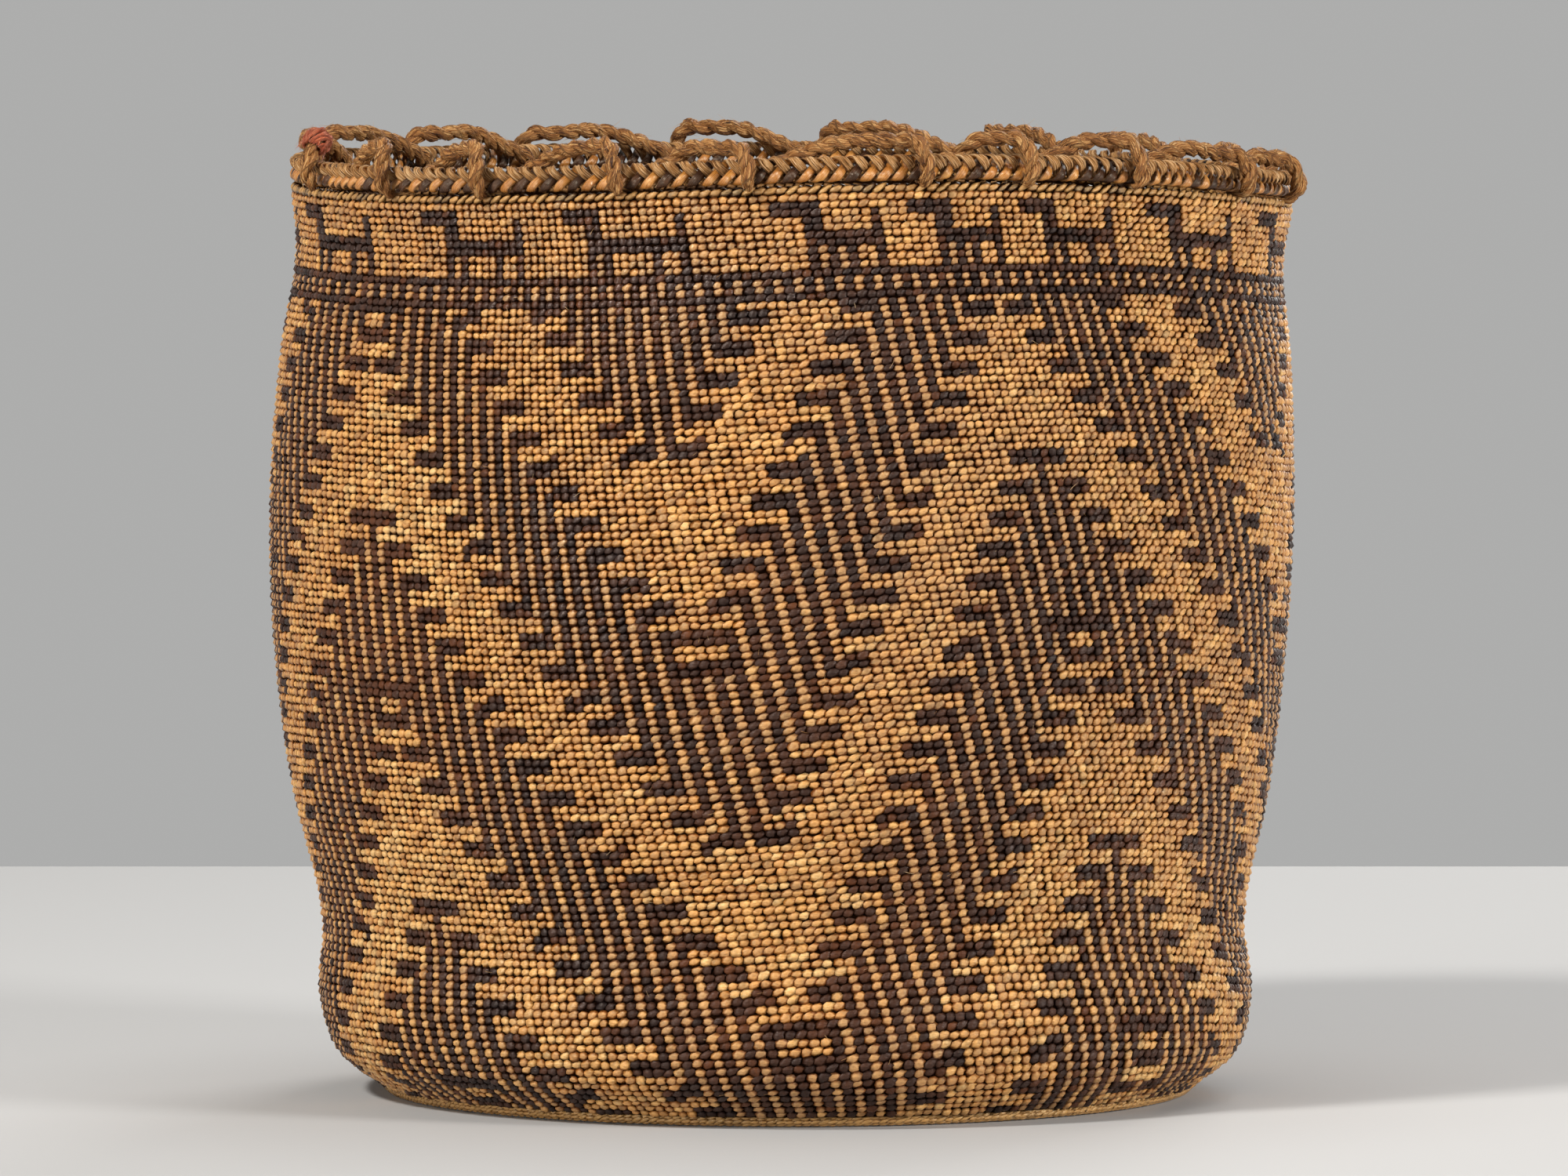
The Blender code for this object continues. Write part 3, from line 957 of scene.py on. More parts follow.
@dataclass(frozen=True)
class StrayFibre:
    """A fibre that stands away from a cord: a thin three-sided sliver along X, bent up and aside."""

    name: str = "stray_fibre"
    variants: int = 4
    steps: int = 4
    sides: int = 3
    rise: Pair = (0.4, 1.0)
    rise_power: float = 1.6
    sway: Pair = (-0.5, 0.5)
    sway_gain: float = 6
    taper: float = 0.75
    flatness: float = 0.12
    crest: float = 0.7
    map_rows: Pair = (0.1, 0.8)
    map_columns: Pair = (0.25, 0.25)

    def make(self, seed: int) -> Collection:
        """Build the bends of the fibre.

        Args:
            seed: What they vary by.

        Returns:
            A collection of them.
        """
        chance = np.random.default_rng(seed)
        collection = bpy.data.collections.new(self.name)
        count, sides = (self.steps + 1) * self.sides, self.sides
        order = np.arange(count)
        across, along = self.map_columns, self.map_rows
        places = np.column_stack((along[0] + along[1] * (order // sides) / self.steps,
                                  rising(order % sides, *across)))
        faces = [(sides * i + k, sides * (i + 1) + k, sides * (i + 1) + (k + 1) % sides, sides * i + (k + 1) % sides)
                 for i in range(self.steps) for k in range(sides)]
        faces += [tuple(range(sides)), tuple(range(count - 1, count - 1 - sides, -1))]
        for number in range(self.variants):
            rise, sway = chance.uniform(*self.rise), chance.uniform(*self.sway)
            points = []
            for i in range(self.steps + 1):
                t = i / self.steps
                thin = 0.5 * (1 - self.taper * t)
                middle = np.array([t, sway * t * t * self.sway_gain, rise * t ** self.rise_power])
                for corner in range(sides):
                    turn = TURN * corner / sides
                    points.append(middle + (0.0, thin * math.cos(turn), thin * math.sin(turn) * self.flatness))
            add_template(collection, f"{self.name}_{number}", points, faces, np.full(count, self.crest), places)
        return collection


@dataclass
class StitchLook:
    """How a run of stitches looks: sizes, tilt, lift, tone, wear and gloss, for each or for all, and its finish."""

    length: Values
    width: Values
    relief: Values
    tilt: Values
    lift: Values
    tone: Values
    finish: Material
    seed: int
    worn: Values = 0.0
    gloss: Values = 0.0
    growth_spread: float = 0.07


class StitchTree:
    """The node tree that sets one bead on each point of a mesh."""

    def __init__(self) -> None:
        """Build the tree with its named inputs."""
        tree = bpy.data.node_groups.new("set_stitches", "GeometryNodeTree")
        face = tree.interface
        face.new_socket("Geometry", in_out="INPUT", socket_type="NodeSocketGeometry")
        self.inputs = {
            name: face.new_socket(name, in_out="INPUT", socket_type=kind).identifier
            for name, kind in (
                ("Beads", "NodeSocketCollection"), ("Finish", "NodeSocketMaterial"),
                ("Cells", "NodeSocketFloat"), ("Growth spread", "NodeSocketFloat"), ("Seed", "NodeSocketInt"))}
        face.new_socket("Geometry", in_out="OUTPUT", socket_type="NodeSocketGeometry")
        sheet = Sheet(tree)
        given = sheet.add("NodeGroupInput").outputs
        beads = sheet.add("GeometryNodeCollectionInfo", {
            "Collection": given["Beads"], "Separate Children": True, "Reset Children": True})

        def attribute(name: str, kind: str) -> NodeSocket:
            """Return a point's attribute."""
            return sheet.add("GeometryNodeInputNamedAttribute", {"Name": name}, data_type=kind).outputs["Attribute"]

        growth = sheet.add("FunctionNodeRandomValue", {
            2: sheet.math("SUBTRACT", 1.0, given["Growth spread"]),
            3: sheet.math("ADD", 1.0, given["Growth spread"]), "Seed": given["Seed"]},
            data_type="FLOAT").outputs[1]
        turn = sheet.add("FunctionNodeEulerToRotation", {0: attribute("turn", "FLOAT_VECTOR")}).outputs[0]
        set_on = sheet.add("GeometryNodeInstanceOnPoints", {
            "Points": given["Geometry"], "Instance": beads.outputs[0], "Pick Instance": True,
            "Instance Index": attribute("variant", "INT"), "Rotation": turn,
            "Scale": sheet.scale(attribute("size", "FLOAT_VECTOR"), growth)})
        real = sheet.add("GeometryNodeRealizeInstances", {0: set_on.outputs[0]}).outputs[0]
        own_cell = sheet.add("ShaderNodeVectorMath", {
            0: attribute(OWN_MAP, "FLOAT_VECTOR"), 1: attribute("cell", "FLOAT_VECTOR")}, operation="ADD")
        map_place = sheet.scale(own_cell.outputs[0], sheet.math("DIVIDE", 1.0, given["Cells"]))
        mapped = sheet.add("GeometryNodeStoreNamedAttribute", {
            "Geometry": real, "Name": OWN_MAP, "Value": map_place}, data_type="FLOAT2", domain="CORNER")
        dressed = sheet.add("GeometryNodeSetMaterial", {
            "Geometry": mapped.outputs[0], "Material": given["Finish"]})
        sheet.add("NodeGroupOutput", {0: dressed.outputs[0]})
        self.tree = tree

    def run(self, name: str, sites: StitchSites, bead: Collection, look: StitchLook) -> Object:
        """Set a bead on each site.

        Args:
            name: The new piece's name.
            sites: Where the stitches sit.
            bead: The collection of bead variants.
            look: Sizes, tilt, tone and finish of the stitches.

        Returns:
            The piece, a plain mesh with its material.
        """
        count = len(sites)
        order = np.arange(count)
        length, width, relief, tilt, lift, tone, worn, gloss = (
            np.broadcast_to(values, count) for values in (
                look.length, look.width, look.relief, look.tilt, look.lift, look.tone, look.worn, look.gloss))
        along = turned(sites.along, np.cross(sites.facing, sites.along), tilt)
        cells = math.ceil(math.sqrt(count))
        points = new_mesh(name + "_points", sites.middle + sites.facing * lift[:, None], [])
        set_marks(points, {
            "turn": euler_angles(along, np.cross(sites.facing, along), sites.facing),
            "size": np.column_stack((length, width, relief)),
            "cell": np.column_stack((order % cells, order // cells, np.zeros(count))),
            "tone": tone, "gloss": gloss, "worn": worn,
            "variant": (steady_random(look.seed, order) * len(bead.objects)).astype(np.int32)})
        piece = new_object(name, points)
        setter = piece.modifiers.new("set_stitches", "NODES")
        setter.node_group = self.tree
        for key, value in (("Beads", bead), ("Finish", look.finish), ("Cells", float(cells)),
                           ("Growth spread", look.growth_spread), ("Seed", look.seed)):
            setter[self.inputs[key]] = value
        return settled_mesh(piece, ("turn", "size", "cell", "variant"))


def euler_angles(along: ndarray, across: ndarray, facing: ndarray) -> ndarray:
    """Find how far the axes turn onto three directions at right angles.

    Args:
        along: Where X goes.
        across: Where Y goes.
        facing: Where Z goes.

    Returns:
        Rows of XYZ angles.
    """
    pitch = -np.arcsin(np.clip(along[:, 2], -1.0, 1.0))
    roll = np.arctan2(across[:, 2], facing[:, 2])
    yaw = np.arctan2(along[:, 1], along[:, 0])
    return np.column_stack((roll, pitch, yaw))


@dataclass(frozen=True)
class StrayRun:
    """A run of stray fibres for one node, with its finish and its fixed seed.

    Lengths, widths and reliefs are given by the least and the most, in
    metres, and the tilt by its middle and its spread, in radians.
    """

    name: str
    node: str
    finish: FibreFinish
    seed: int
    count: int
    length: Pair
    width: Pair
    relief: Pair
    tilt: Pair
    lift: float = 0.0

    def chance(self) -> np.random.Generator:
        """Return the source of the run's random numbers."""
        return np.random.default_rng(self.seed)

    def lay(self, tree: StitchTree, sites: StitchSites, chance: np.random.Generator) -> None:
        """Lay the fibres on their sites and hand them over.

        Args:
            tree: What sets them.
            sites: Where they sit.
            chance: The run's random numbers.
        """
        bend = StrayFibre().make(self.seed + 1)
        look = StitchLook(
            length=chance.uniform(*self.length, self.count), width=chance.uniform(*self.width, self.count),
            relief=chance.uniform(*self.relief, self.count), tilt=chance.normal(*self.tilt, self.count),
            lift=self.lift, tone=chance.random(self.count), finish=self.finish.make(), seed=self.seed + 2,
            growth_spread=0.0)
        hand_over(tree.run(self.name, sites, bend, look), self.node)
        drop_collection(bend)


# ------------ wall


@dataclass(frozen=True)
class WornPatch:
    """A place on the wall where the fibre is rubbed, faded or smoothed.

    The angle and its reach are in degrees, the height and its reach are
    shares of the wall's rows.
    """

    angle: float
    height: float
    angle_reach: float
    height_reach: float
    amount: float

    def at(self, angle: ndarray, height: ndarray) -> ndarray:
        """Return how strong the wear is, by angle in degrees and share of height."""
        away = (angle - self.angle + 180) % 360 - 180
        return self.amount * np.exp(-(away / self.angle_reach) ** 2 - ((height - self.height) / self.height_reach) ** 2)


def patches(*rows: tuple[float, float, float, float, float]) -> tuple[WornPatch, ...]:
    """Return patches from rows of their fields."""
    return tuple(WornPatch(*row) for row in rows)


def wear(worn_patches: tuple[WornPatch, ...], angle: ndarray, height: ndarray) -> ndarray:
    """Return the sum of patches of wear, by angle in degrees and share of height."""
    return sum(patch.at(angle, height) for patch in worn_patches)


@dataclass
class TwinedWall:
    """The wall: outer and inner stitches on a near-black shell, painted shade for the gaps between them.

    A pair for a stitch's size, lift or lean gives its middle and how far
    single stitches differ. Each tone is a base, a share of the stitch's own
    and a share of its strand's. A weft's run tells how far strands shift
    from row to row and how many stitches each one is.
    """

    form: BasketForm
    weave: Weave
    pattern: ZigzagPattern
    tree: StitchTree
    weft_run: tuple[int, int] = (7, 5)
    light_bands: int = 6
    dark_bands: int = 3
    inner_bands: int = 3
    bead_length: Pair = (1.15, 0.26)
    bead_width: Pair = (1.20, 0.24)
    bead_relief: float = 0.0013
    relief_shares: Pair = (0.86, 0.28)
    bead_lift: Pair = (-0.00078, 0.00022)
    bead_shift: float = 0.00040
    lean: Pair = (14.0, 26.0)
    lean_change: float = 7.0
    light_tone: tuple[float, float, float] = (0.14, 0.66, 0.20)
    dark_tone: tuple[float, float, float] = (0.10, 0.55, 0.25)
    dull_shares: Pair = (0.6, 0.6)
    russet_gain: float = 0.9
    russet_least: float = 0.3
    old_wear: float = 0.55
    old_light_share: float = 0.10
    old_dark_share: float = 0.09
    light_rub: float = 0.35
    dark_rub: float = 0.18
    strand_rub: float = 0.25
    between_shares: Pair = (0.45, 0.55)
    between_tone: float = 0.16
    between_wear: float = 0.50
    most_worn: float = 0.9
    gloss_shade: float = 0.30
    gloss_own: float = 0.4
    shell_depth: float = 0.00062
    shell_columns: int = 180
    shell_rows: int = 70
    inner_inset: float = 0.0001
    inner_relief: float = 0.0007
    inner_length: float = 1.15
    inner_width: Pair = (1.10, 0.1)
    inner_lean: Pair = (12.0, 16.0)
    inner_dark_tone: float = 0.18
    inner_tone: Pair = (0.50, 0.4)
    inner_wear: float = 0.4
    stray_run: StrayRun = StrayRun(
        "wall_strays", "wall", HAIR_FIBRE, seed=61, count=1300, length=(0.0012, 0.0034),
        width=(0.00010, 0.00026), relief=(0.0001, 0.0007), tilt=(0.3, 0.7), lift=0.0003)
    russet_patches: tuple[WornPatch, ...] = patches(
        (-27, 0.84, 13, 0.10, 0.50), (-56, 0.50, 20, 0.34, 0.62), (2, 0.22, 16, 0.22, 0.42),
        (-8, 0.55, 9, 0.10, 0.28), (52, 0.30, 16, 0.30, 0.40), (130, 0.60, 25, 0.20, 0.40),
        (-130, 0.35, 25, 0.25, 0.40), (-170, 0.80, 25, 0.12, 0.30))
    dull_patches: tuple[WornPatch, ...] = patches(
        (20, 0.62, 20, 0.28, 0.44), (-5, 0.90, 20, 0.08, 0.25), (24, 0.12, 18, 0.10, 0.14),
        (150, 0.30, 30, 0.30, 0.35), (-110, 0.70, 25, 0.20, 0.30))
    glossy_patches: tuple[WornPatch, ...] = patches(
        (-18, 0.92, 20, 0.10, 1.0), (-50, 0.97, 16, 0.07, 0.5), (-38, 0.20, 14, 0.16, 0.6),
        (-24, 0.60, 8, 0.16, 0.6), (55, 0.30, 20, 0.20, 0.5), (160, 0.70, 30, 0.20, 0.6))
    # Paler light stitches: partly the fibre's own tone, partly painted light on the lower front to the left and right.
    pale_patches: tuple[WornPatch, ...] = patches(
        (-46, 0.18, 20, 0.16, 0.42), (-46, 0.66, 14, 0.18, 0.22), (48, 0.16, 20, 0.14, 0.40),
        (0, 0.20, 12, 0.10, 0.12), (110, 0.25, 25, 0.20, 0.15))

    def __post_init__(self) -> None:
        """Number the stitches, find where they sit and which are dark."""
        columns, rows = self.weave.columns, self.weave.rows
        column, row = np.meshgrid(np.arange(columns), np.arange(rows))
        self.column, self.row = column.ravel() - columns // 2, row.ravel()
        self.sites = self.weave.stitches(self.column.astype(float), self.row.astype(float))
        below = rows - 1 - self.row
        self.dark = self.pattern.dark(self.column, below)
        left, right = (self.pattern.dark((self.column + step) % columns, below) for step in (-1, 1))
        chance = steady_random(Draw.BETWEEN, self.column, self.row)
        self.between = np.where(left & right, rising(chance, *self.between_shares), 0.0)

    def tones(self, kind: StitchKind) -> tuple[ndarray, ndarray]:
        """Return each stitch's tone and wear: its own, its strand's and its place's.

        Args:
            kind: Which weft the stitches are worked in.

        Returns:
            Two arrays with values from 0 to 1.
        """
        column, row = self.column, self.row
        own = steady_random(Draw.TONE, column, row)
        other = steady_random(Draw.WEAR, column, row)
        shift, reach = self.weft_run
        strand = steady_random(Draw.WEFT, (column + shift * row) // reach, row)
        angle = np.degrees(np.arctan2(self.sites.middle[:, 0], -self.sites.middle[:, 1]))
        height = (row + 0.5) / self.weave.rows
        base, own_share, strand_share = self.light_tone if kind is StitchKind.LIGHT else self.dark_tone
        tone = base + own_share * own + strand_share * strand
        if kind is StitchKind.LIGHT:
            tone = np.clip(tone + wear(self.pale_patches, angle, height), 0.0, 1.0)
            old = np.where(other < self.old_light_share, self.old_wear, self.light_rub * other ** 2)
            dull = wear(self.dull_patches, angle, height) * rising(strand, *self.dull_shares)
            worn = np.clip(old + dull, 0.0, 1.0) + self.between_wear * self.between
            return tone - self.between_tone * self.between, np.clip(worn, 0.0, self.most_worn)
        old = np.where(other > 1 - self.old_dark_share, self.old_wear, self.dark_rub * other ** 2)
        russet = self.russet_gain * wear(self.russet_patches, angle, height) * (self.russet_least + own)
        return np.clip(tone, 0.0, 1.0), np.clip(russet + old + self.strand_rub * strand ** 3, 0.0, 1.0)

    def build(self) -> None:
        """Build the wall's pieces."""
        outer = OUTER_BEAD.make(11)
        for kind, bands, finish, seed in (
                (StitchKind.LIGHT, self.light_bands, LIGHT_FIBRE.make(), 0),
                (StitchKind.DARK, self.dark_bands, DARK_FIBRE.make(), 20)):
            chosen = np.flatnonzero(self.dark == (kind is StitchKind.DARK))
            tone, worn = self.tones(kind)
            for band, part in enumerate(np.array_split(chosen, bands), start=1):
                sites, look = self.outer_band(part, tone[part], worn[part], finish, seed + band)
                hand_over(self.tree.run(f"{kind.value}_stitches_{band}", sites, outer, look), "wall")
        self.inside()
        chance = self.stray_run.chance()
        places = self.sites.only(chance.choice(len(self.sites), self.stray_run.count, replace=False))
        self.stray_run.lay(self.tree, places, chance)
        hand_over(self.shell(), "wall")
        drop_collection(outer)

    def outer_band(self, part: ndarray, tone: ndarray, worn: ndarray, finish: Material,
                   seed: int) -> tuple[StitchSites, StitchLook]:
        """Return where a band's stitches sit, each moved a little along the face, and how they look.

        Args:
            part: Numbers of the band's stitches.
            tone: Their tones.
            worn: Their wear.
            finish: Their material.
            seed: The band's fixed seed.

        Returns:
            The sites and the look.
        """
        own = steady_random(Draw.SIZE, self.column[part], self.row[part])
        other = steady_random(Draw.SHIFT, self.column[part], self.row[part])
        sites = self.sites.only(part)
        across = np.cross(sites.facing, sites.along)
        move = sites.along * (other - 0.5)[:, None] + across * ((own * 7.0) % 1.0 - 0.5)[:, None]
        sites.middle = sites.middle + move * self.bead_shift
        turn = np.arctan2(sites.middle[:, 0], -sites.middle[:, 1])
        gloss = wear(self.glossy_patches, np.degrees(turn), self.row[part] / self.weave.rows)
        (length, length_reach), (width, width_reach) = self.bead_length, self.bead_width
        lean, lean_reach = self.lean
        return sites, StitchLook(
            length=sites.wide * length * varied(own, 1, length_reach),
            width=sites.high * width * varied(other, 1, width_reach),
            relief=self.bead_relief * rising(other, *self.relief_shares),
            tilt=np.radians(lean + self.lean_change * np.sin(turn) + lean_reach * (own - 0.5)),
            lift=varied(other, *self.bead_lift), tone=np.clip(tone - self.gloss_shade * gloss, 0.0, 1.0),
            worn=worn, gloss=np.clip(gloss + self.gloss_own * own ** 3, 0.0, 1.0), finish=finish, seed=seed)

    def inside(self) -> None:
        """Set plainer stitches on the wall's inner face."""
        bead = INNER_BEAD.make(12)
        finish = INNER_FIBRE.make()
        own = steady_random(Draw.INSIDE, self.column, self.row)
        tone = np.where(self.dark, self.inner_dark_tone * own, rising(own, *self.inner_tone))
        depth = self.form.wall_thickness - self.inner_inset
        narrowed = 1.0 - depth / self.form.belly_radius
        for band, part in enumerate(np.array_split(np.arange(len(self.sites)), self.inner_bands), start=1):
            here = self.sites.only(part)
            inner = StitchSites(here.middle - here.facing * depth, -here.facing, -here.along,
                                here.wide * narrowed, here.high)
            look = StitchLook(
                length=inner.wide * self.inner_length, width=inner.high * varied(own[part], *self.inner_width),
                relief=self.inner_relief, tilt=np.radians(varied(own[part], *self.inner_lean)),
                lift=-self.inner_relief, tone=tone[part], worn=self.inner_wear * own[part], finish=finish,
                seed=40 + band)
            hand_over(self.tree.run(f"inner_stitches_{band}", inner, bead, look), "wall")
        drop_collection(bead)

    def shell(self) -> Object:
        """Build the shell of warps that shows between the stitches, near-black as painted shade for the gaps.

        Returns:
            The piece.
        """
        around, up = self.shell_columns, self.shell_rows
        turns = np.arange(around) * self.weave.columns / around
        column, row = (grid.ravel() for grid in np.meshgrid(turns, np.linspace(0.0, self.weave.rows, up)))
        facing = self.weave.stitches(column, np.clip(row - 0.5, 0, self.weave.rows - 1.001)).facing
        outer = self.weave.place(column, row) - facing * self.shell_depth
        inner = outer - facing * (self.form.wall_thickness - self.shell_depth - self.inner_relief)
        layer, last = around * up, (up - 1) * around
        faces = []
        for start in range(0, last, around):
            for i in range(around):
                a, b = start + i, start + (i + 1) % around
                faces += [(a, b, b + around, a + around),
                          (layer + b, layer + a, layer + a + around, layer + b + around)]
        for i in range(around):
            j = (i + 1) % around
            faces += [(i, layer + i, layer + j, j), (last + j, layer + last + j, layer + last + i, last + i)]
        # Near-black as painted shade for the gaps between the stitches.
        return mesh_piece("dark_warps", np.concatenate((outer, inner)), faces, SHADE_FIBRE.make(), smooth=True)


# ------------ bottom


@dataclass
class TwinedBottom:
    """The bottom: rings of stitches on its top and underside, and the heel row.

    The heel row's stitches lie in rounds, each turned round the row's own
    middle by an angle from level outwards to straight up.
    """

    form: BasketForm
    tree: StitchTree
    ring_pitch: float = 0.0027
    stitch_pitch: float = 0.0031
    stitch_shares: Pair = (1.1, 1.02)
    stitch_relief: float = 0.0006
    stitch_lift: float = -0.00062
    stitch_lean: Pair = (14.0, 14)
    stitch_tone: Pair = (0.5, 0.45)
    stitch_wear: float = 0.4
    ring_shift: float = 400
    underside: float = 0.00005
    core_inset: float = 0.0009
    core_sides: int = 120
    heel_rounds: tuple[float, ...] = (-72.0, -30.0, 12.0, 100.0, 190.0)
    heel_count: int = 300
    heel_inset: float = 0.0004
    heel_length_shares: Pair = (1.5, 0.4)
    heel_width: float = 0.0017
    heel_width_shares: Pair = (1.0, 0.3)
    heel_relief: float = 0.0010
    heel_lift: float = -0.0004
    heel_lean: Pair = (13.0, 20)
    heel_tone: Pair = (0.62, 0.38)

    def ring_sites(self, height: float, up: float) -> StitchSites:
        """Find the stitches of all rings at one height.

        Args:
            height: The height.
            up: 1 where they face up, -1 where they face down.

        Returns:
            The sites.
        """
        middles, alongs, wides = [], [], []
        radius = self.form.base_radius - self.ring_pitch / 2
        while radius > self.ring_pitch * 0.4:
            count = max(5, int(TURN * radius / self.stitch_pitch))
            turn = np.arange(count) * TURN / count + radius * self.ring_shift
            middles.append(level_out(turn) * radius + (0.0, 0.0, height))
            alongs.append(level_along(turn) * up)
            wides.append(np.full(count, TURN * radius / count))
            radius -= self.ring_pitch
        middle = np.concatenate(middles)
        facing = np.zeros_like(middle)
        facing[:, 2] = up
        return StitchSites(middle, facing, np.concatenate(alongs), np.concatenate(wides), self.ring_pitch)

    def build(self) -> None:
        """Build the bottom's pieces and the heel row."""
        bead = INNER_BEAD.make(13)
        finish = INNER_FIBRE.make()
        for name, height, up in (("bottom_stitches", self.form.base_thickness, 1.0),
                                 ("underside_stitches", self.underside, -1.0)):
            sites = self.ring_sites(height, up)
            own = steady_random(Draw.BOTTOM, np.arange(len(sites)))
            look = StitchLook(
                length=sites.wide * self.stitch_shares[0], width=sites.high * self.stitch_shares[1],
                relief=self.stitch_relief, tilt=np.radians(varied(own, *self.stitch_lean)),
                lift=self.stitch_lift, tone=rising(own, *self.stitch_tone), worn=self.stitch_wear * own,
                finish=finish, seed=60, growth_spread=0.03)
            hand_over(self.tree.run(name, sites, bead, look), "base_disc")
        hand_over(self.disc_core(), "base_disc")
        drop_collection(bead)
        self.heel()

    def disc_core(self) -> Object:
        """Build the disc inside the bottom, near-black as painted shade for the gaps between its stitches.

        Returns:
            The piece.
        """
        count, low = self.core_sides, self.core_inset * 0.6
        ring = level_out(np.arange(count) * TURN / count) * (self.form.base_radius - self.core_inset)
        faces = [tuple(range(count - 1, -1, -1)), tuple(range(count, 2 * count))]
        faces += [(i, (i + 1) % count, count + (i + 1) % count, count + i) for i in range(count)]
        points = np.concatenate((ring + UP * low, ring + UP * (self.form.base_thickness - low)))
        # Near-black as painted shade between the bottom's stitches.
        return mesh_piece("bottom_core", points, faces, SHADE_FIBRE.make())

    def heel(self) -> None:
        """Set the long flat stitches of the row that turns the bottom into the wall."""
        bead = OUTER_BEAD.make(15)
        row_radius, count = self.form.heel_row_radius, self.heel_count
        radius = self.form.base_radius + self.form.gap + row_radius
        angle = np.tile(np.arange(count) * TURN / count, len(self.heel_rounds))
        roll = np.repeat(np.radians(self.heel_rounds), count)
        out = level_out(angle)
        facing = turned(out, UP, roll)
        middle = out * radius + UP * (row_radius + self.form.gap) + facing * (row_radius - self.heel_inset)
        sites = StitchSites(middle, facing, level_along(angle), TURN * radius / count, self.heel_width)
        order = np.arange(len(sites))
        own = steady_random(Draw.HEEL, order)
        look = StitchLook(
            length=sites.wide * rising(own, *self.heel_length_shares),
            width=sites.high * rising(own, *self.heel_width_shares), relief=self.heel_relief,
            tilt=np.radians(varied(own, *self.heel_lean)), lift=self.heel_lift,
            tone=rising(own, *self.heel_tone), worn=self.stitch_wear * steady_random(Draw.HEEL_WEAR, order),
            finish=BORDER_FIBRE.make(), seed=61, growth_spread=0.04)
        hand_over(self.tree.run("heel_stitches", sites, bead, look), "heel_row")
        drop_collection(bead)


# ------------ swept strips and cords


def swept_piece(name: str, path: ndarray, out: ndarray, up: ndarray, profile: ndarray,
                closed: bool, material: Material, marks: dict[str, ndarray],
                map_rows: int) -> Object:
    """Sweep a closed profile along a path.

    Args:
        name: The new piece's name.
        path: Points of the path.
        out: For each point, the direction of the profile's first axis, scaled.
        up: For each point, the direction of the profile's second axis, scaled.
        profile: Corners of the profile, anticlockwise as seen along the path, for all points or each.
        closed: Whether the path is a ring.
        material: The piece's finish.
        marks: For each attribute's name, a value for each path point and corner.
        map_rows: Rows that the strip's own map is cut into.

    Returns:
        The new piece.
    """
    profiles = np.broadcast_to(profile, (len(path), *profile.shape[-2:]))
    count, sides = profiles.shape[:2]
    points = (path[:, None, :] + out[:, None, :] * profiles[:, :, :1]
              + up[:, None, :] * profiles[:, :, 1:]).reshape(-1, 3)
    steps = count if closed else count - 1
    faces, places = [], []
    for i in range(steps):
        after = (i + 1) % count
        row = i * map_rows // steps
        start = row * steps / map_rows
        left, right = (i - start) * map_rows / steps, (i + 1 - start) * map_rows / steps
        for k in range(sides):
            low, high = k / sides, (k + 1) / sides
            j = (k + 1) % sides
            faces.append((i * sides + k, after * sides + k, after * sides + j, i * sides + j))
            for x, y in ((left, low), (right, low), (right, high), (left, high)):
                places.append((min(x, 1.0), (row + 0.02 + 0.96 * y) / map_rows))
    if not closed:
        faces.append(tuple(range(sides)))
        faces.append(tuple((count - 1) * sides + k for k in range(sides - 1, -1, -1)))
        places += [(0.0, 0.0)] * (2 * sides)
    piece = mesh_piece(name, points, faces, material, smooth=True)
    set_map(piece.data, places)
    set_marks(piece.data, marks)
    return piece


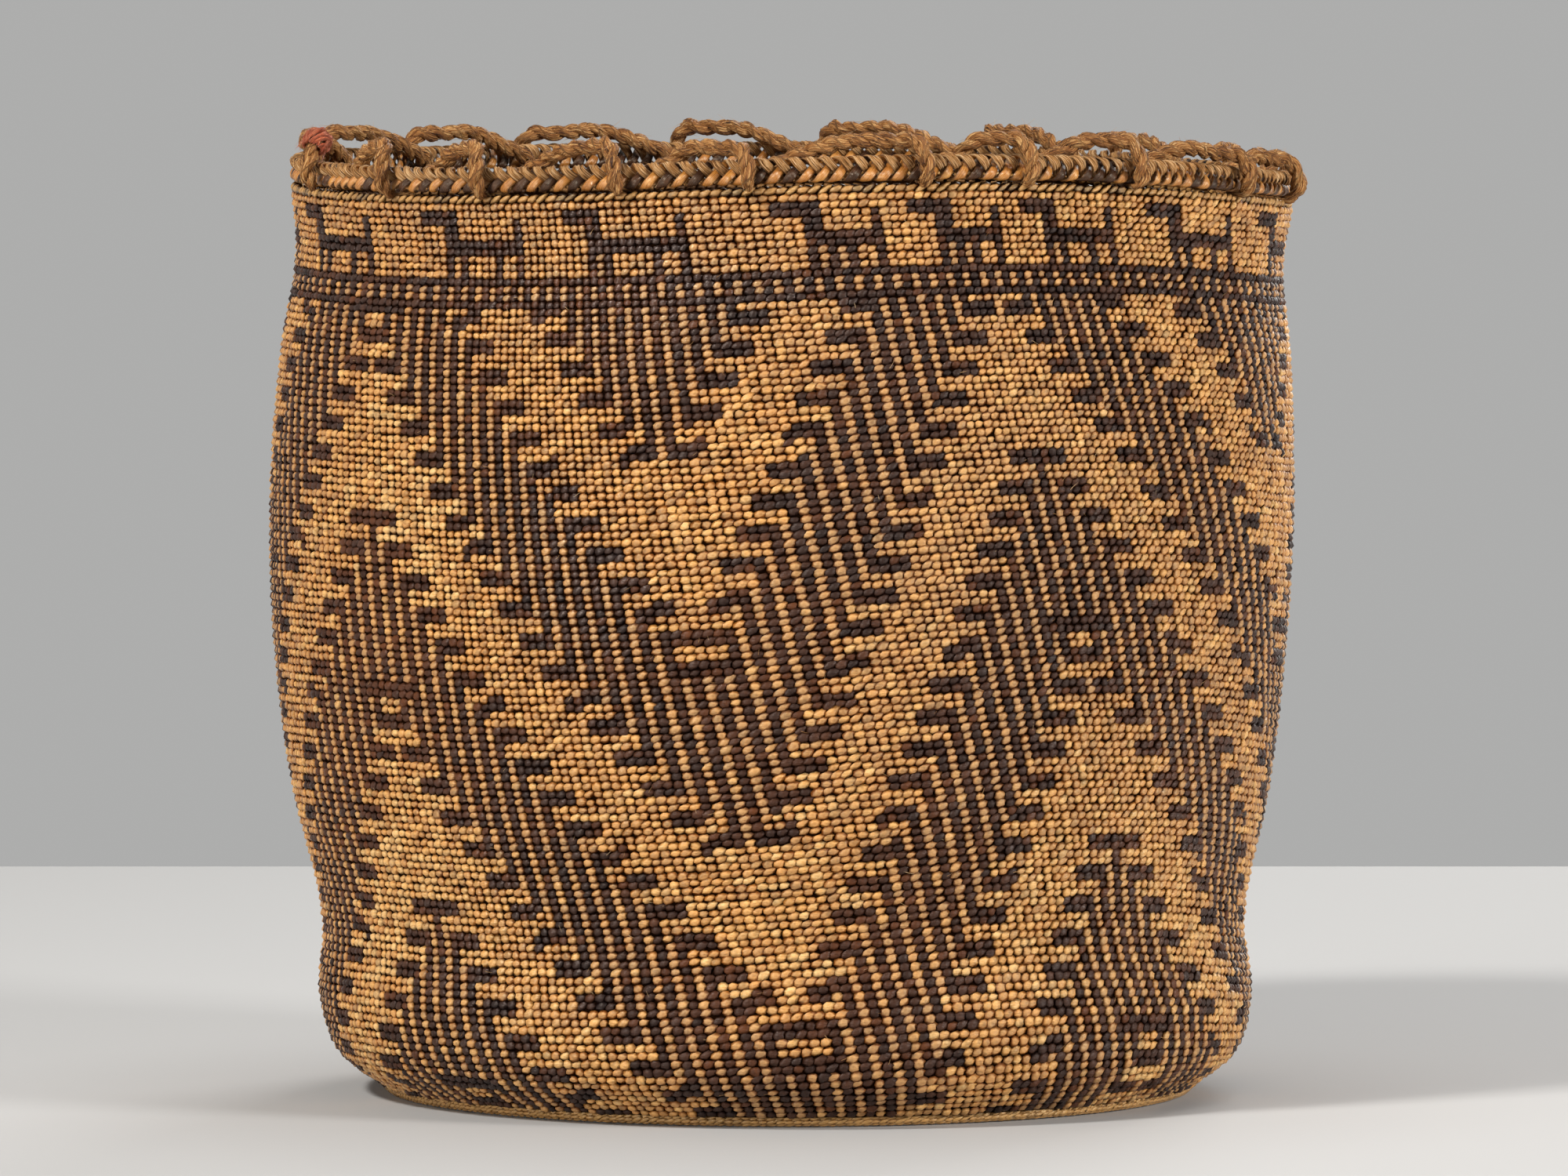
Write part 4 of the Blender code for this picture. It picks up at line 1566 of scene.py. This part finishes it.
@dataclass(frozen=True)
class StripFinish:
    """A flat strip of bark: glossy on the face that it shows below, fibrous on the other.

    The climb attribute is 1 where the glossy face shows, the night one is 1
    where that face is dark, the side one runs across the strip and the run
    one along it, in metres. The rim colour is painted shade along both long
    edges of the strip, where it meets its neighbours.
    """

    name: str = "plait_bark"
    gold: Stops = ((0.28, (0.17, 0.050, 0.009)), (0.50, (0.46, 0.175, 0.032)), (0.76, (0.80, 0.430, 0.120)))
    dark: Stops = ((0.28, (0.014, 0.005, 0.003)), (0.50, (0.044, 0.018, 0.009)), (0.76, (0.150, 0.064, 0.030)))
    fibrous: Stops = (
        (0.37, (0.026, 0.008, 0.002)), (0.44, (0.280, 0.112, 0.032)), (0.52, (0.600, 0.300, 0.100)),
        (0.64, (0.880, 0.620, 0.350)))
    # Painted shade along both long edges of the strip.
    rim: Colour = (0.045, 0.018, 0.008)
    edge_shade_steps: Steps = ((0.0, 0.55), (0.12, 0.0), (0.88, 0.0), (1.0, 0.55))
    line_pitch: Pair = (8.0, 110.0)
    line_scale: float = 1.6
    patch_scale: float = 260.0
    line_shares: Pair = (0.45, 0.55)
    roughness: Pair = (0.58, 0.86)
    smoothness: float = 0.44
    night_shine: float = 0.25
    shine: Pair = (0.20, 1.0)
    tint: Colour = (1.0, 0.90, 0.72)
    bump_shares: Pair = (1.0, 0.35)
    bump_distance: float = 0.0010

    def make(self) -> Material:
        """Build the finish.

        Returns:
            The material.
        """
        material, sheet = new_material(self.name)
        climb, night, side, run = (sheet.mark(name) for name in ("climb", "night", "side", "run"))
        flow = sheet.add("ShaderNodeCombineXYZ", {
            number: sheet.math("MULTIPLY", way, pitch)
            for number, (way, pitch) in enumerate(zip((side, run), self.line_pitch))}).outputs[0]
        lines = sheet.noise(flow, self.line_scale, 4.0)
        both = sheet.blend(lines, sheet.noise(sheet.place(), self.patch_scale), self.line_shares)
        bark = sheet.mix(night, sheet.ramp(both, self.gold), sheet.ramp(both, self.dark))
        colour = sheet.mix(climb, sheet.ramp(lines, self.fibrous), bark)
        shine = sheet.math("MULTIPLY", climb, sheet.remap(night, 1.0, self.night_shine))
        # Painted shade: the rim colour darkens both long edges of the strip.
        sheet.dress({
            "Base Color": sheet.mix(sheet.steps(side, self.edge_shade_steps), colour, self.rim),
            "Roughness": sheet.math("SUBTRACT", sheet.remap(lines, *self.roughness),
                                    sheet.math("MULTIPLY", climb, self.smoothness)),
            "Specular IOR Level": sheet.remap(shine, *self.shine), "Specular Tint": self.tint,
            "Normal": sheet.bump(lines, sheet.remap(climb, *self.bump_shares), self.bump_distance)})
        return material


@dataclass
class RimPlait:
    """The three strands plaited along the rim.

    Each strand is a flat strip that folds over the plait's edges, so that
    it shows one face on its way up and the other on its way down.
    """

    form: BasketForm
    turns: int = 49
    strand_count: int = 3
    strand_width: float = 0.0030
    strand_thickness: float = 0.0010
    swing_share: float = 1.13
    roll: float = math.radians(30)
    bottom: float = math.radians(270)
    strip_turns: int = 68
    strip_width: float = 0.0029
    strip_thickness: float = 0.0009
    strip_swing: float = 0.0037
    strip_depth: float = 0.0019
    strip_section: tuple[Pair, ...] = (
        (-0.4, 1.0), (-1.2, 0.72), (-0.6, 0.36), (-1.4, 0.0), (-0.6, -0.36), (-1.2, -0.72), (-0.4, -1.0),
        (0.4, -1.0), (1.1, -0.55), (1.45, 0.0), (1.1, 0.55), (0.4, 1.0))
    strip_sides: tuple[float, ...] = (1.0, 0.86, 0.68, 0.5, 0.32, 0.14, 0.0, 0.0, 0.22, 0.5, 0.78, 1.0)
    swell_waves: tuple[Place, ...] = ((0.10, 0.618, 0), (0.05, 0.263, 1))
    night_share: float = 0.80
    stray_night_share: float = 0.08
    rise_shares: Pair = (0.97, 0.06)
    width_shares: Pair = (1, 0.16)
    run_stretch: float = 1.5
    fold_speed: float = 1.7
    fold_sway: Pair = (0.22, 0.37)
    tip: float = 0.93
    samples: int = 28

    def __post_init__(self) -> None:
        """Work out the plait's reach from the strands' sizes."""
        self.swing = self.swing_share * self.strand_width
        self.depth = self.strand_width / 2 + self.strand_thickness + self.form.gap / 2
        self.half_height = self.swing + self.strand_width / 2
        self.half_depth = self.depth + self.strand_width / 2 * math.sin(self.roll)
        self.crossings = self.turns * self.strand_count
        self.radius, _, border_top = self.form.rim_seats()
        self.height = border_top + self.form.gap + self.half_height

    def point(self, angle: ndarray, outward: ndarray, up: ndarray) -> ndarray:
        """Return points beside the middle of the plait."""
        return self.form.settle(self.radius + outward, self.height + up, angle)

    def build(self) -> None:
        """Build the three strands."""
        finish = StripFinish().make()
        for number in range(1, self.strand_count + 1):
            hand_over(self.strand(number, finish), f"braid_strand_{number}")

    def strand(self, number: int, finish: Material) -> Object:
        """Build one strand as a crowned strip.

        Args:
            number: 1, 2 or 3.
            finish: Its material.

        Returns:
            The piece.
        """
        count = self.strip_turns * self.samples
        step = np.arange(count) / self.samples
        angle = TURN * step / self.strip_turns
        swing = self.bottom + TURN * (step + 1 / 6 - (number - 1) / self.strand_count)
        crossing = np.floor((swing - math.pi) / TURN).astype(int)
        crossing = (self.strand_count * crossing + number - 1) % (self.strip_turns * self.strand_count)
        uneven = steady_random(Draw.CROSSING, crossing) - 0.5
        swell = lumpy(swing, self.swell_waves, number)
        zigzag = np.arcsin(self.tip * np.sin(swing)) / math.asin(self.tip)
        path = self.point(angle, -self.strip_depth * np.sin(2 * swing) * swell,
                          self.strip_swing * zigzag * rising(uneven, *self.rise_shares))
        tangent = unit(np.roll(path, -1, axis=0) - np.roll(path, 1, axis=0))
        outward = square_to(level_out(angle), tangent)
        upward = np.cross(outward, tangent)
        upward *= np.where(upward[:, 2:] < 0, -1.0, 1.0)
        fold = math.pi / 2 * (np.clip(self.fold_speed * np.cos(swing), -1.0, 1.0) - 1.0)
        fold += self.fold_sway[0] * np.sin(swing * self.fold_sway[1] + number)
        face = turned(outward, upward, fold)
        across = np.cross(tangent, face)
        profile = np.array(self.strip_section) * (self.strip_thickness / 2, self.strip_width / 2)
        sides = len(profile)
        night = (crossing % 2 == 0) & (steady_random(Draw.NIGHT, crossing) < self.night_share)
        night |= steady_random(Draw.STRAY_NIGHT, crossing) < self.stray_night_share
        climb = np.tile(np.where(profile[:, 0] > 0, 1.0, 0.0), count)
        marks = {
            "climb": climb, "side": np.tile(self.strip_sides, count),
            "night": np.repeat(night.astype(float), sides),
            "run": np.repeat(step * TURN * self.radius / self.strip_turns * self.run_stretch + number, sides)}
        width = rising(uneven, *self.width_shares)[:, None]
        return swept_piece(f"plait_strand_{number}", path, face, across * width, profile, True, finish, marks, 12)


@dataclass
class BorderRow:
    """The row of slanting stitches that closes the wall."""

    form: BasketForm
    tree: StitchTree
    count: int = 296
    stitch_length: float = 0.0048
    length_shares: Pair = (0.84, 0.32)
    stitch_width: float = 0.0022
    width_shares: Pair = (1.16, -0.30)
    stitch_relief: Pair = (0.0011, 0.0005)
    stitch_inset: float = 0.0002
    stitch_lift: float = -0.0006
    slant: Pair = (21.0, 22)
    facing_rise: float = 0.12
    row_lift: float = 0.0007
    dark_share: float = 0.20
    dark_tone: float = 0.05
    light_tone: Pair = (0.34, 0.62)
    wear: float = 0.35
    band_inset: float = 0.0006

    def build(self) -> None:
        """Build the slanting stitches and the band that they are worked on."""
        radius, middle, _ = self.form.rim_seats()
        bead = OUTER_BEAD.make(14)
        order = np.arange(self.count)
        angle = TURN * order / self.count
        half = self.form.border_row_thickness / 2
        finish = BORDER_FIBRE.make()
        ahead, behind = (self.ring(radius, middle, angle + step) for step in (0.01, -0.01))
        for name, side, seed in (("border_stitches", 1.0, 71), ("border_stitches_inside", -1.0, 73)):
            place = self.ring(radius + side * (half - self.stitch_inset), middle + self.row_lift, angle)
            along = unit(ahead - behind) * side
            facing = square_to(unit(level_out(angle) + UP * self.facing_rise) * side, along)
            own = steady_random(seed, order)
            dark = steady_random(seed + 1, order // 2) < self.dark_share
            look = StitchLook(
                length=self.stitch_length * rising(own, *self.length_shares),
                width=self.stitch_width * rising(own, *self.width_shares),
                relief=rising(own, *self.stitch_relief),
                tilt=np.radians(varied(own, *self.slant)), lift=self.stitch_lift,
                tone=np.where(dark, self.dark_tone, rising(own, *self.light_tone)),
                worn=self.wear * steady_random(seed + 4, order), finish=finish, seed=seed, growth_spread=0.04)
            hand_over(self.tree.run(name, StitchSites(place, facing, along), bead, look), "border_row")
        drop_collection(bead)
        hand_over(self.band(radius, middle, angle), "border_row")

    def ring(self, radius: float, height: float, angle: ndarray) -> ndarray:
        """Return the settled points of a level ring, at angles round it."""
        return self.form.settle(np.full(len(angle), radius), np.full(len(angle), height), angle)

    def band(self, radius: float, middle: float, angle: ndarray) -> Object:
        """Build the band inside the row, near-black as painted shade for the gaps between its stitches.

        Args:
            radius: Its radius.
            middle: The height of its middle.
            angle: Angles round it.

        Returns:
            The piece.
        """
        half, high = self.form.border_row_thickness / 2 - self.band_inset, self.form.border_row_height / 2
        profile = np.array([(-half, high), (-half, -high), (half, -high), (half, high)])
        # Near-black as painted shade between the slanting stitches.
        return swept_piece("border_band", self.ring(radius, middle, angle), level_out(angle),
                           np.tile(UP, (self.count, 1)), profile, True, SHADE_FIBRE.make(), {}, 4)


@dataclass(frozen=True)
class CordFinish:
    """Twisted fibre: fine lines that follow the twist, matt, with pale and dark fibres.

    The side attribute is the angle round the strand and the run one the way
    along it, in metres.
    """

    name: str
    stops: Stops
    roughness: Pair = (0.42, 0.72)
    specular: float = 0.30
    bump: float = 1.0
    bump_distance: float = 0.0013
    fuzz: float = 0.06
    fuzz_roughness: float = 0.5
    run_pitch: float = 60.0
    fibre_scale: float = 4.2
    clump_scale: float = 130.0
    fibre_shares: Pair = (0.84, 0.16)

    def make(self) -> Material:
        """Build the finish.

        Returns:
            The material.
        """
        material, sheet = new_material(self.name)
        side = sheet.mark("side")
        around = sheet.add("ShaderNodeCombineXYZ", {
            0: sheet.math("COSINE", side), 1: sheet.math("SINE", side),
            2: sheet.math("MULTIPLY", sheet.mark("run"), self.run_pitch)}).outputs[0]
        fibres = sheet.noise(around, self.fibre_scale, 5.0)
        clumps = sheet.noise(sheet.place(), self.clump_scale, 2.0)
        sheet.dress({
            "Base Color": sheet.ramp(sheet.blend(fibres, clumps, self.fibre_shares), self.stops),
            "Roughness": sheet.remap(fibres, *self.roughness), "Specular IOR Level": self.specular,
            "Sheen Weight": self.fuzz, "Sheen Roughness": self.fuzz_roughness,
            "Normal": sheet.bump(fibres, self.bump, self.bump_distance)})
        return material


CORD_FIBRE = CordFinish(
    "cord_fibre",
    ((0.38, (0.030, 0.009, 0.002)), (0.45, (0.220, 0.078, 0.018)), (0.53, (0.480, 0.205, 0.052)),
     (0.63, (0.820, 0.510, 0.210))), fuzz=0.0)
WOOL_FIBRE = CordFinish(
    "wool_fibre",
    ((0.37, (0.180, 0.018, 0.005)), (0.44, (0.540, 0.085, 0.026)), (0.54, (0.820, 0.200, 0.070)),
     (0.66, (0.950, 0.540, 0.320))), roughness=(0.7, 0.9), fuzz=0.05)
WOOL_HAIR = FibreFinish(
    "wool_hair",
    ((0.00, (0.42, 0.085, 0.050)), (0.70, (0.66, 0.24, 0.16)), (1.00, (0.82, 0.66, 0.56))),
    worn=(0.5, 0.2, 0.12), edge=(0.7, 0.4, 0.3), shade_and_blotch=(0.40, 0.090, 0.055), edge_highlight_share=0.0)


@dataclass(frozen=True)
class CordLine:
    """Points along the cord's middle, with a tangent and two directions across it for each."""

    middle: ndarray
    tangent: ndarray
    first: ndarray
    second: ndarray

    def only(self, chosen: ndarray | slice) -> "CordLine":
        """Return the chosen points."""
        return CordLine(self.middle[chosen], self.tangent[chosen], self.first[chosen], self.second[chosen])

    def away(self, angle: ndarray) -> ndarray:
        """Return directions away from the middle, by the angle round it at each point."""
        return turned(self.first, self.second, angle)

    def wound(self, name: str, away: ndarray, reach: ndarray, thick: ndarray, profile: ndarray,
              finish: Material, marks: dict[str, ndarray], map_rows: int) -> Object:
        """Sweep a strand that winds round the middle.

        Args:
            name: The new piece's name.
            away: For each point, the direction from the middle to the strand.
            reach: How far away the strand is.
            thick: How thick the strand is.
            profile: The strand's section, one across.
            finish: The strand's material.
            marks: The strand's attributes.
            map_rows: Rows that the strand's own map is cut into.

        Returns:
            The new piece.
        """
        path = self.middle + away * reach[:, None]
        along = unit(np.gradient(path, axis=0))
        out = square_to(away, along)
        return swept_piece(name, path, out * thick[:, None], np.cross(along, out) * thick[:, None],
                           profile, False, finish, marks, map_rows)


@dataclass
class LoopCord:
    """The two-ply cord that is hitched over the plait in loops, and its wool."""

    form: BasketForm
    plait: RimPlait
    tree: StitchTree
    radius: float = 0.0022
    pinch_radius: float = 0.0008
    hump_rise: float = 0.0032
    hump_drop: float = 0.0002
    arc_rise: float = 0.0009
    arc_knot_steps: int = 5
    first_hitch: int = -28
    hitch_steps: tuple[int, ...] = (7, 6, 7, 6, 8, 5, 6, 8, 7, 10, 7, 8, 7, 8, 7, 8, 7, 8, 17)
    hump_shares: tuple[float, ...] = (
        1.0, 0.9, 0.8, 0.1, 0.4, 0.5, 0.7, 0.1, 0.1, 0.1, 0.2, 0.1, 0.3, 0.2, 0.5, 0.1, 0.2, 0.6, 1.0)
    skipped_knots: int = 2
    ply_share: float = 0.64
    full_share: float = 1.14
    twist_pitch: float = 0.0125
    twist_sway: Pair = (0.5, 61)
    sides: int = 15
    ridge: tuple[float, int] = (0.20, 5)
    fine_ridge: tuple[float, int, int] = (0.05, 3, 300)
    ridge_pitch: float = 0.011
    lump_waves: tuple[Place, ...] = ((0.09, 410, 2), (0.06, 1370, 1))
    snugness: float = 0.92
    step: float = 0.0009
    samples_between: int = 14
    bare_end: int = 4
    stray_run: StrayRun = StrayRun(
        "cord_strays", "loop_cord", HAIR_FIBRE, seed=91, count=1500, length=(0.0022, 0.0058),
        width=(0.00008, 0.00020), relief=(0.0003, 0.0017), tilt=(0.0, 0.45))
    wool_length: float = 0.0125
    wool_strands: int = 30
    wool_sides: int = 6
    wool_radius: float = 0.0038
    wool_strand_radius: float = 0.00068
    wool_twist_pitch: float = 0.006
    wool_turn: float = 1.3
    wool_sway: Place = (0.5, 5, 9)
    wool_run_shift: float = 0.31
    wool_end_shares: Pair = (0.06, 0.88)
    wool_reach_shares: Pair = (0.85, 0.4)
    wool_hug_shares: Pair = (0.55, 0.45)
    wool_shares: Pair = (0.85, 0.3)
    crest_height: float = 0.004
    crest_window: int = 14
    fuzz_run: StrayRun = StrayRun(
        "wool_fuzz", "red_wool_binding", WOOL_HAIR, seed=97, count=150, length=(0.002, 0.0048),
        width=(0.00008, 0.00018), relief=(0.0002, 0.0011), tilt=(0.0, 0.35), lift=0.0006)

    def knots(self) -> ndarray:
        """Lay out the route over and under the plait.

        Returns:
            The knots, as rows of x, y, z and thickness.
        """
        plait = self.plait
        top_seat = plait.half_height + self.form.gap + self.radius
        face_seat = plait.half_depth + self.form.gap + self.radius
        pinch = self.pinch_radius / self.radius
        under = self.pinch_radius - self.form.border_dip - plait.half_height
        half_strand = plait.strand_width / 2
        rows = []
        number = self.first_hitch
        for steps, hump_share in zip(self.hitch_steps, self.hump_shares):
            hump_seat = top_seat + self.hump_rise * hump_share
            beside = (steps - 2) // (2 * self.arc_knot_steps)
            arc = [(steps / 2 + 0.30 + place * self.arc_knot_steps, -face_seat / 2, top_seat + self.arc_rise, 1.0)
                   for place in range(-beside, beside + 1)]
            for turn, out, up, thick in (
                    (0.00, 0.0, under, pinch),
                    (0.10, -face_seat * 0.80, under + half_strand / 2, (1 + pinch) / 2),
                    (0.80, -face_seat, 0.0, 1.0),
                    (2.00, -face_seat, plait.swing, 1.0),
                    *arc,
                    (steps - 1.10, 0.0, hump_seat, 1.0),
                    (steps - 0.40, face_seat / 2, hump_seat - self.hump_drop * hump_share, 1.0),
                    (steps - 0.02, face_seat + self.form.gap, plait.swing, 1.0),
                    (steps + 0.04, face_seat + self.form.gap, -plait.swing / 2, 1.0),
                    (steps + 0.02, face_seat * 0.72, under + half_strand / 3, (1 + pinch) / 2)):
                angle = (number + turn) * TURN / plait.crossings
                rows.append((*plait.point(np.float64(angle), out, up), thick))
            number += steps
        return np.array(rows)[self.skipped_knots:]

    def route(self) -> tuple[ndarray, ndarray]:
        """Space the route evenly.

        Returns:
            The points of the cord and their thickness shares.
        """
        fine = smooth_samples(self.knots(), self.samples_between)
        run = np.concatenate(([0.0], np.cumsum(np.linalg.norm(np.diff(fine[:, :3], axis=0), axis=1))))
        stops = np.linspace(0.0, run[-1], int(run[-1] / self.step))
        even = np.column_stack([np.interp(stops, run, fine[:, axis]) for axis in range(4)])
        return even[:, :3], even[:, 3]

    def line(self, middle: ndarray) -> CordLine:
        """Find directions across the cord that turn nowhere suddenly.

        Args:
            middle: The cord's points.

        Returns:
            The cord's line.
        """
        tangent = unit(np.gradient(middle, axis=0))
        first = np.zeros_like(tangent)
        first[0] = unit(np.cross(tangent[0], UP))
        for i in range(1, len(tangent)):
            carried = first[i - 1] - tangent[i] * (first[i - 1] @ tangent[i])
            first[i] = carried / np.linalg.norm(carried)
        return CordLine(middle, tangent, first, np.cross(tangent, first))

    def build(self) -> None:
        """Build both plies, the stray fibres and the wool."""
        middle, thick = self.route()
        line = self.line(middle)
        finish = CORD_FIBRE.make()
        for number in range(2):
            hand_over(self.ply(number, line, thick, finish), "loop_cord")
        self.strays(line, thick)
        self.wool(line.only(self.wool_span(middle)))

    def ply(self, number: int, line: CordLine, thick: ndarray, finish: Material) -> Object:
        """Build one lumpy, ridged ply, wound round the cord's middle.

        Args:
            number: 0 or 1.
            line: The cord's line.
            thick: The cord's thickness share at each point.
            finish: The ply's material.

        Returns:
            The new piece.
        """
        run = np.arange(len(line.middle)) * self.step
        full = np.clip(thick, 0.0, 1.0) * self.full_share
        sway, sway_pitch = self.twist_sway
        angle = TURN * run / self.twist_pitch + sway * np.sin(run * sway_pitch) + number * math.pi
        ply_radius = self.radius * self.ply_share
        lumps = lumpy(run, self.lump_waves, number)
        corner = TURN * np.arange(self.sides) / self.sides
        wound = corner[None, :] + (run * TURN / self.ridge_pitch)[:, None]
        (high, ridges), (fine, fine_ridges, drift) = self.ridge, self.fine_ridge
        ridged = 1.0 + high * np.cos(ridges * wound) + fine * np.sin(fine_ridges * wound + (run * drift)[:, None])
        profile = np.stack((np.cos(corner) * ridged, np.sin(corner) * ridged), axis=-1)
        marks = {"side": wound.ravel(), "run": np.repeat(run + number, self.sides)}
        reach = (self.radius - ply_radius * self.snugness) * full
        return line.wound(f"cord_ply_{number + 1}", line.away(angle), reach, ply_radius * full * lumps,
                          profile, finish, marks, 24)

    def strays(self, line: CordLine, thick: ndarray) -> None:
        """Set stray fibres on the cord, away from its ends.

        Args:
            line: The cord's line.
            thick: Its thickness share at each point.
        """
        count, chance = self.stray_run.count, self.stray_run.chance()
        at = chance.integers(self.bare_end, len(thick) - self.bare_end, count)
        here = line.only(at)
        facing = here.away(chance.uniform(0, TURN, count))
        along = here.tangent * np.where(chance.random(count) < 0.5, -1.0, 1.0)[:, None]
        reach = self.radius * self.full_share * thick[at] * self.snugness
        self.stray_run.lay(self.tree, StitchSites(here.middle + facing * reach[:, None], facing, along), chance)

    def wool_span(self, middle: ndarray) -> slice:
        """Find the crest next to the first hitch, which the wool covers.

        Args:
            middle: The cord's points.

        Returns:
            That stretch of the cord.
        """
        angle = self.first_hitch * TURN / self.plait.crossings
        target = self.plait.point(np.float64(angle), 0.0, self.plait.half_height + self.crest_height)
        near = int(np.argmin(np.linalg.norm(middle - target, axis=1)))
        window = slice(max(0, near - self.crest_window), near + self.crest_window)
        crest = window.start + int(np.argmax(middle[window, 2]))
        half = int(self.wool_length / self.step / 2)
        return slice(crest - half, crest + half + 1)

    def wool(self, line: CordLine) -> None:
        """Lay strands of wool, with fuzz on them.

        Args:
            line: The stretch of the cord that they cover.
        """
        count, sides = len(line.middle), self.wool_sides
        share = np.linspace(0.0, 1.0, count)
        hug = np.sqrt(np.clip(np.sin(math.pi * rising(share, *self.wool_end_shares)), 0.0, 1.0))
        finish = WOOL_FIBRE.make()
        corner = TURN * np.arange(sides) / sides
        profile = np.column_stack((np.cos(corner), np.sin(corner)))
        run = np.arange(count) * self.step
        side = np.tile(corner, count) + np.repeat(run * TURN / self.wool_twist_pitch, sides)
        sway, swings, shift = self.wool_sway
        for number in range(self.wool_strands):
            lay = steady_random(Draw.WOOL, np.array([number]))[0]
            start = TURN * number / self.wool_strands
            angle = start + self.wool_turn * share + sway * np.sin(swings * share + shift * lay)
            reach = self.radius + (self.wool_radius - self.radius) * hug * rising(lay, *self.wool_reach_shares)
            thick = self.wool_strand_radius * rising(hug, *self.wool_hug_shares) * rising(lay, *self.wool_shares)
            marks = {"side": side, "run": np.repeat(run + number * self.wool_run_shift, sides)}
            piece = line.wound(f"wool_strand_{number + 1}", line.away(angle), reach, thick, profile, finish, marks, 2)
            hand_over(piece, "red_wool_binding")
        self.wool_fuzz(line)

    def wool_fuzz(self, line: CordLine) -> None:
        """Set the wool's fuzz.

        Args:
            line: The stretch of the cord that the wool covers.
        """
        count, chance = self.fuzz_run.count, self.fuzz_run.chance()
        here = line.only(chance.integers(0, len(line.middle), count))
        facing = here.away(chance.uniform(0, TURN, count))
        sites = StitchSites(here.middle + facing * self.wool_radius, facing, here.tangent)
        self.fuzz_run.lay(self.tree, sites, chance)


# ------------ stage


@dataclass(frozen=True)
class Lamp:
    """A soft square lamp that looks at the basket's middle."""

    name: str
    place: Place
    size: float
    power: float
    tint: Colour
    target: Place = (0.0, 0.0, 0.16)

    def hang(self) -> None:
        """Add the lamp to the scene."""
        light = bpy.data.lights.new(self.name, "AREA")
        light.size, light.energy, light.color = self.size, self.power, self.tint
        lamp = new_object(self.name, light)
        lamp.location = self.place
        lamp.rotation_euler = (Vector(self.target) - Vector(self.place)).to_track_quat("-Z", "Y").to_euler()


@dataclass
class Studio:
    """Table, plain grey surroundings, lamps and camera."""

    distance: float = 4.6
    eye_height: float = 0.434
    eye_side: float = -0.0015
    pitch: float = math.radians(3.35)
    lens: float = 322.9
    sensor: float = 36.0
    clip_reach: Pair = (0.1, 100.0)
    table_half: float = 5.0
    table_back: float = 0.934
    table_shade: Colour = (0.50, 0.50, 0.495)
    table_roughness: float = 0.9
    backdrop_shade: Colour = (0.42, 0.42, 0.415)
    soft_shade: Colour = (0.86, 0.86, 0.86)
    soft_light: float = 0.12
    lamps: tuple[Lamp, ...] = (
        Lamp("key_light", (-1.7, -1.7, 2.4), 0.42, 84.0, (1.0, 0.97, 0.93)),
        Lamp("low_light", (-1.8, -1.9, 0.40), 0.5, 26.0, (1.0, 0.98, 0.96)),
        Lamp("fill_light", (2.1, -1.2, 0.85), 0.6, 52.0, (1.0, 0.98, 0.96)),
        Lamp("top_light", (0.1, 0.2, 2.0), 0.9, 10.0, (1.0, 1.0, 1.0)),
        Lamp("back_light", (0.9, 2.3, 1.3), 1.2, 34.0, (1.0, 0.98, 0.96)))

    def build(self) -> None:
        """Set the stage up."""
        scene = bpy.context.scene
        scene.view_settings.view_transform = "Standard"
        half, back = self.table_half, self.table_back
        paint, sheet = new_material("table_paint")
        sheet.dress({"Base Color": self.table_shade, "Roughness": self.table_roughness})
        corners = np.array([(-half, -half, 0.0), (half, -half, 0.0), (half, back, 0.0), (-half, back, 0.0)])
        table = mesh_piece("table", corners, [(0, 1, 2, 3)], paint)
        scene.world = self.surroundings()
        for lamp in self.lamps:
            lamp.hang()
        self.camera()

    def surroundings(self) -> bpy.types.World:
        """Make a world of soft light that is seen, and mirrored, as plain pale grey.

        Returns:
            The world.
        """
        world = bpy.data.worlds.new("studio")
        world.use_nodes = True
        sheet = Sheet(world.node_tree)
        light = world.node_tree.nodes["Background"]
        sheet.feed(light, {"Color": self.soft_shade, "Strength": self.soft_light})
        seen = sheet.add("ShaderNodeBackground", {"Color": self.backdrop_shade, "Strength": 1.0})
        rays = sheet.add("ShaderNodeLightPath").outputs
        mirrored = sheet.math("MAXIMUM", rays["Is Glossy Ray"], rays["Is Transmission Ray"])
        shown = sheet.math("MAXIMUM", rays["Is Camera Ray"], mirrored)
        both = sheet.add("ShaderNodeMixShader", {0: shown, 1: light.outputs[0], 2: seen.outputs[0]})
        sheet.feed(world.node_tree.nodes["World Output"], {"Surface": both.outputs[0]})
        return world

    def camera(self) -> None:
        """Add the camera at the photograph's angle."""
        data = bpy.data.cameras.new("camera")
        data.sensor_width, data.lens = self.sensor, self.lens
        data.clip_start, data.clip_end = self.clip_reach
        camera = new_object("camera", data)
        camera.location = (self.eye_side, -self.distance, self.eye_height)
        camera.rotation_euler = (math.pi / 2 - self.pitch, 0.0, 0.0)
        bpy.context.scene.camera = camera


def main() -> None:
    """Build the stage and every sub-assembly in order."""
    logging.basicConfig(level=logging.INFO, format="%(name)s: %(message)s")
    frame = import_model()
    LOG.info("frame nodes: %s", ", ".join(sorted(frame["nodes"])))
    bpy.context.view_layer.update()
    Studio().build()
    form = BasketForm()
    tree = StitchTree()
    weave = Weave(form)
    LOG.info("wall: %d columns, %d rows", weave.columns, weave.rows)
    TwinedWall(form, weave, ZigzagPattern(), tree).build()
    TwinedBottom(form, tree).build()
    BorderRow(form, tree).build()
    plait = RimPlait(form)
    plait.build()
    LoopCord(form, plait, tree).build()


if __name__ == "__main__":
    main()
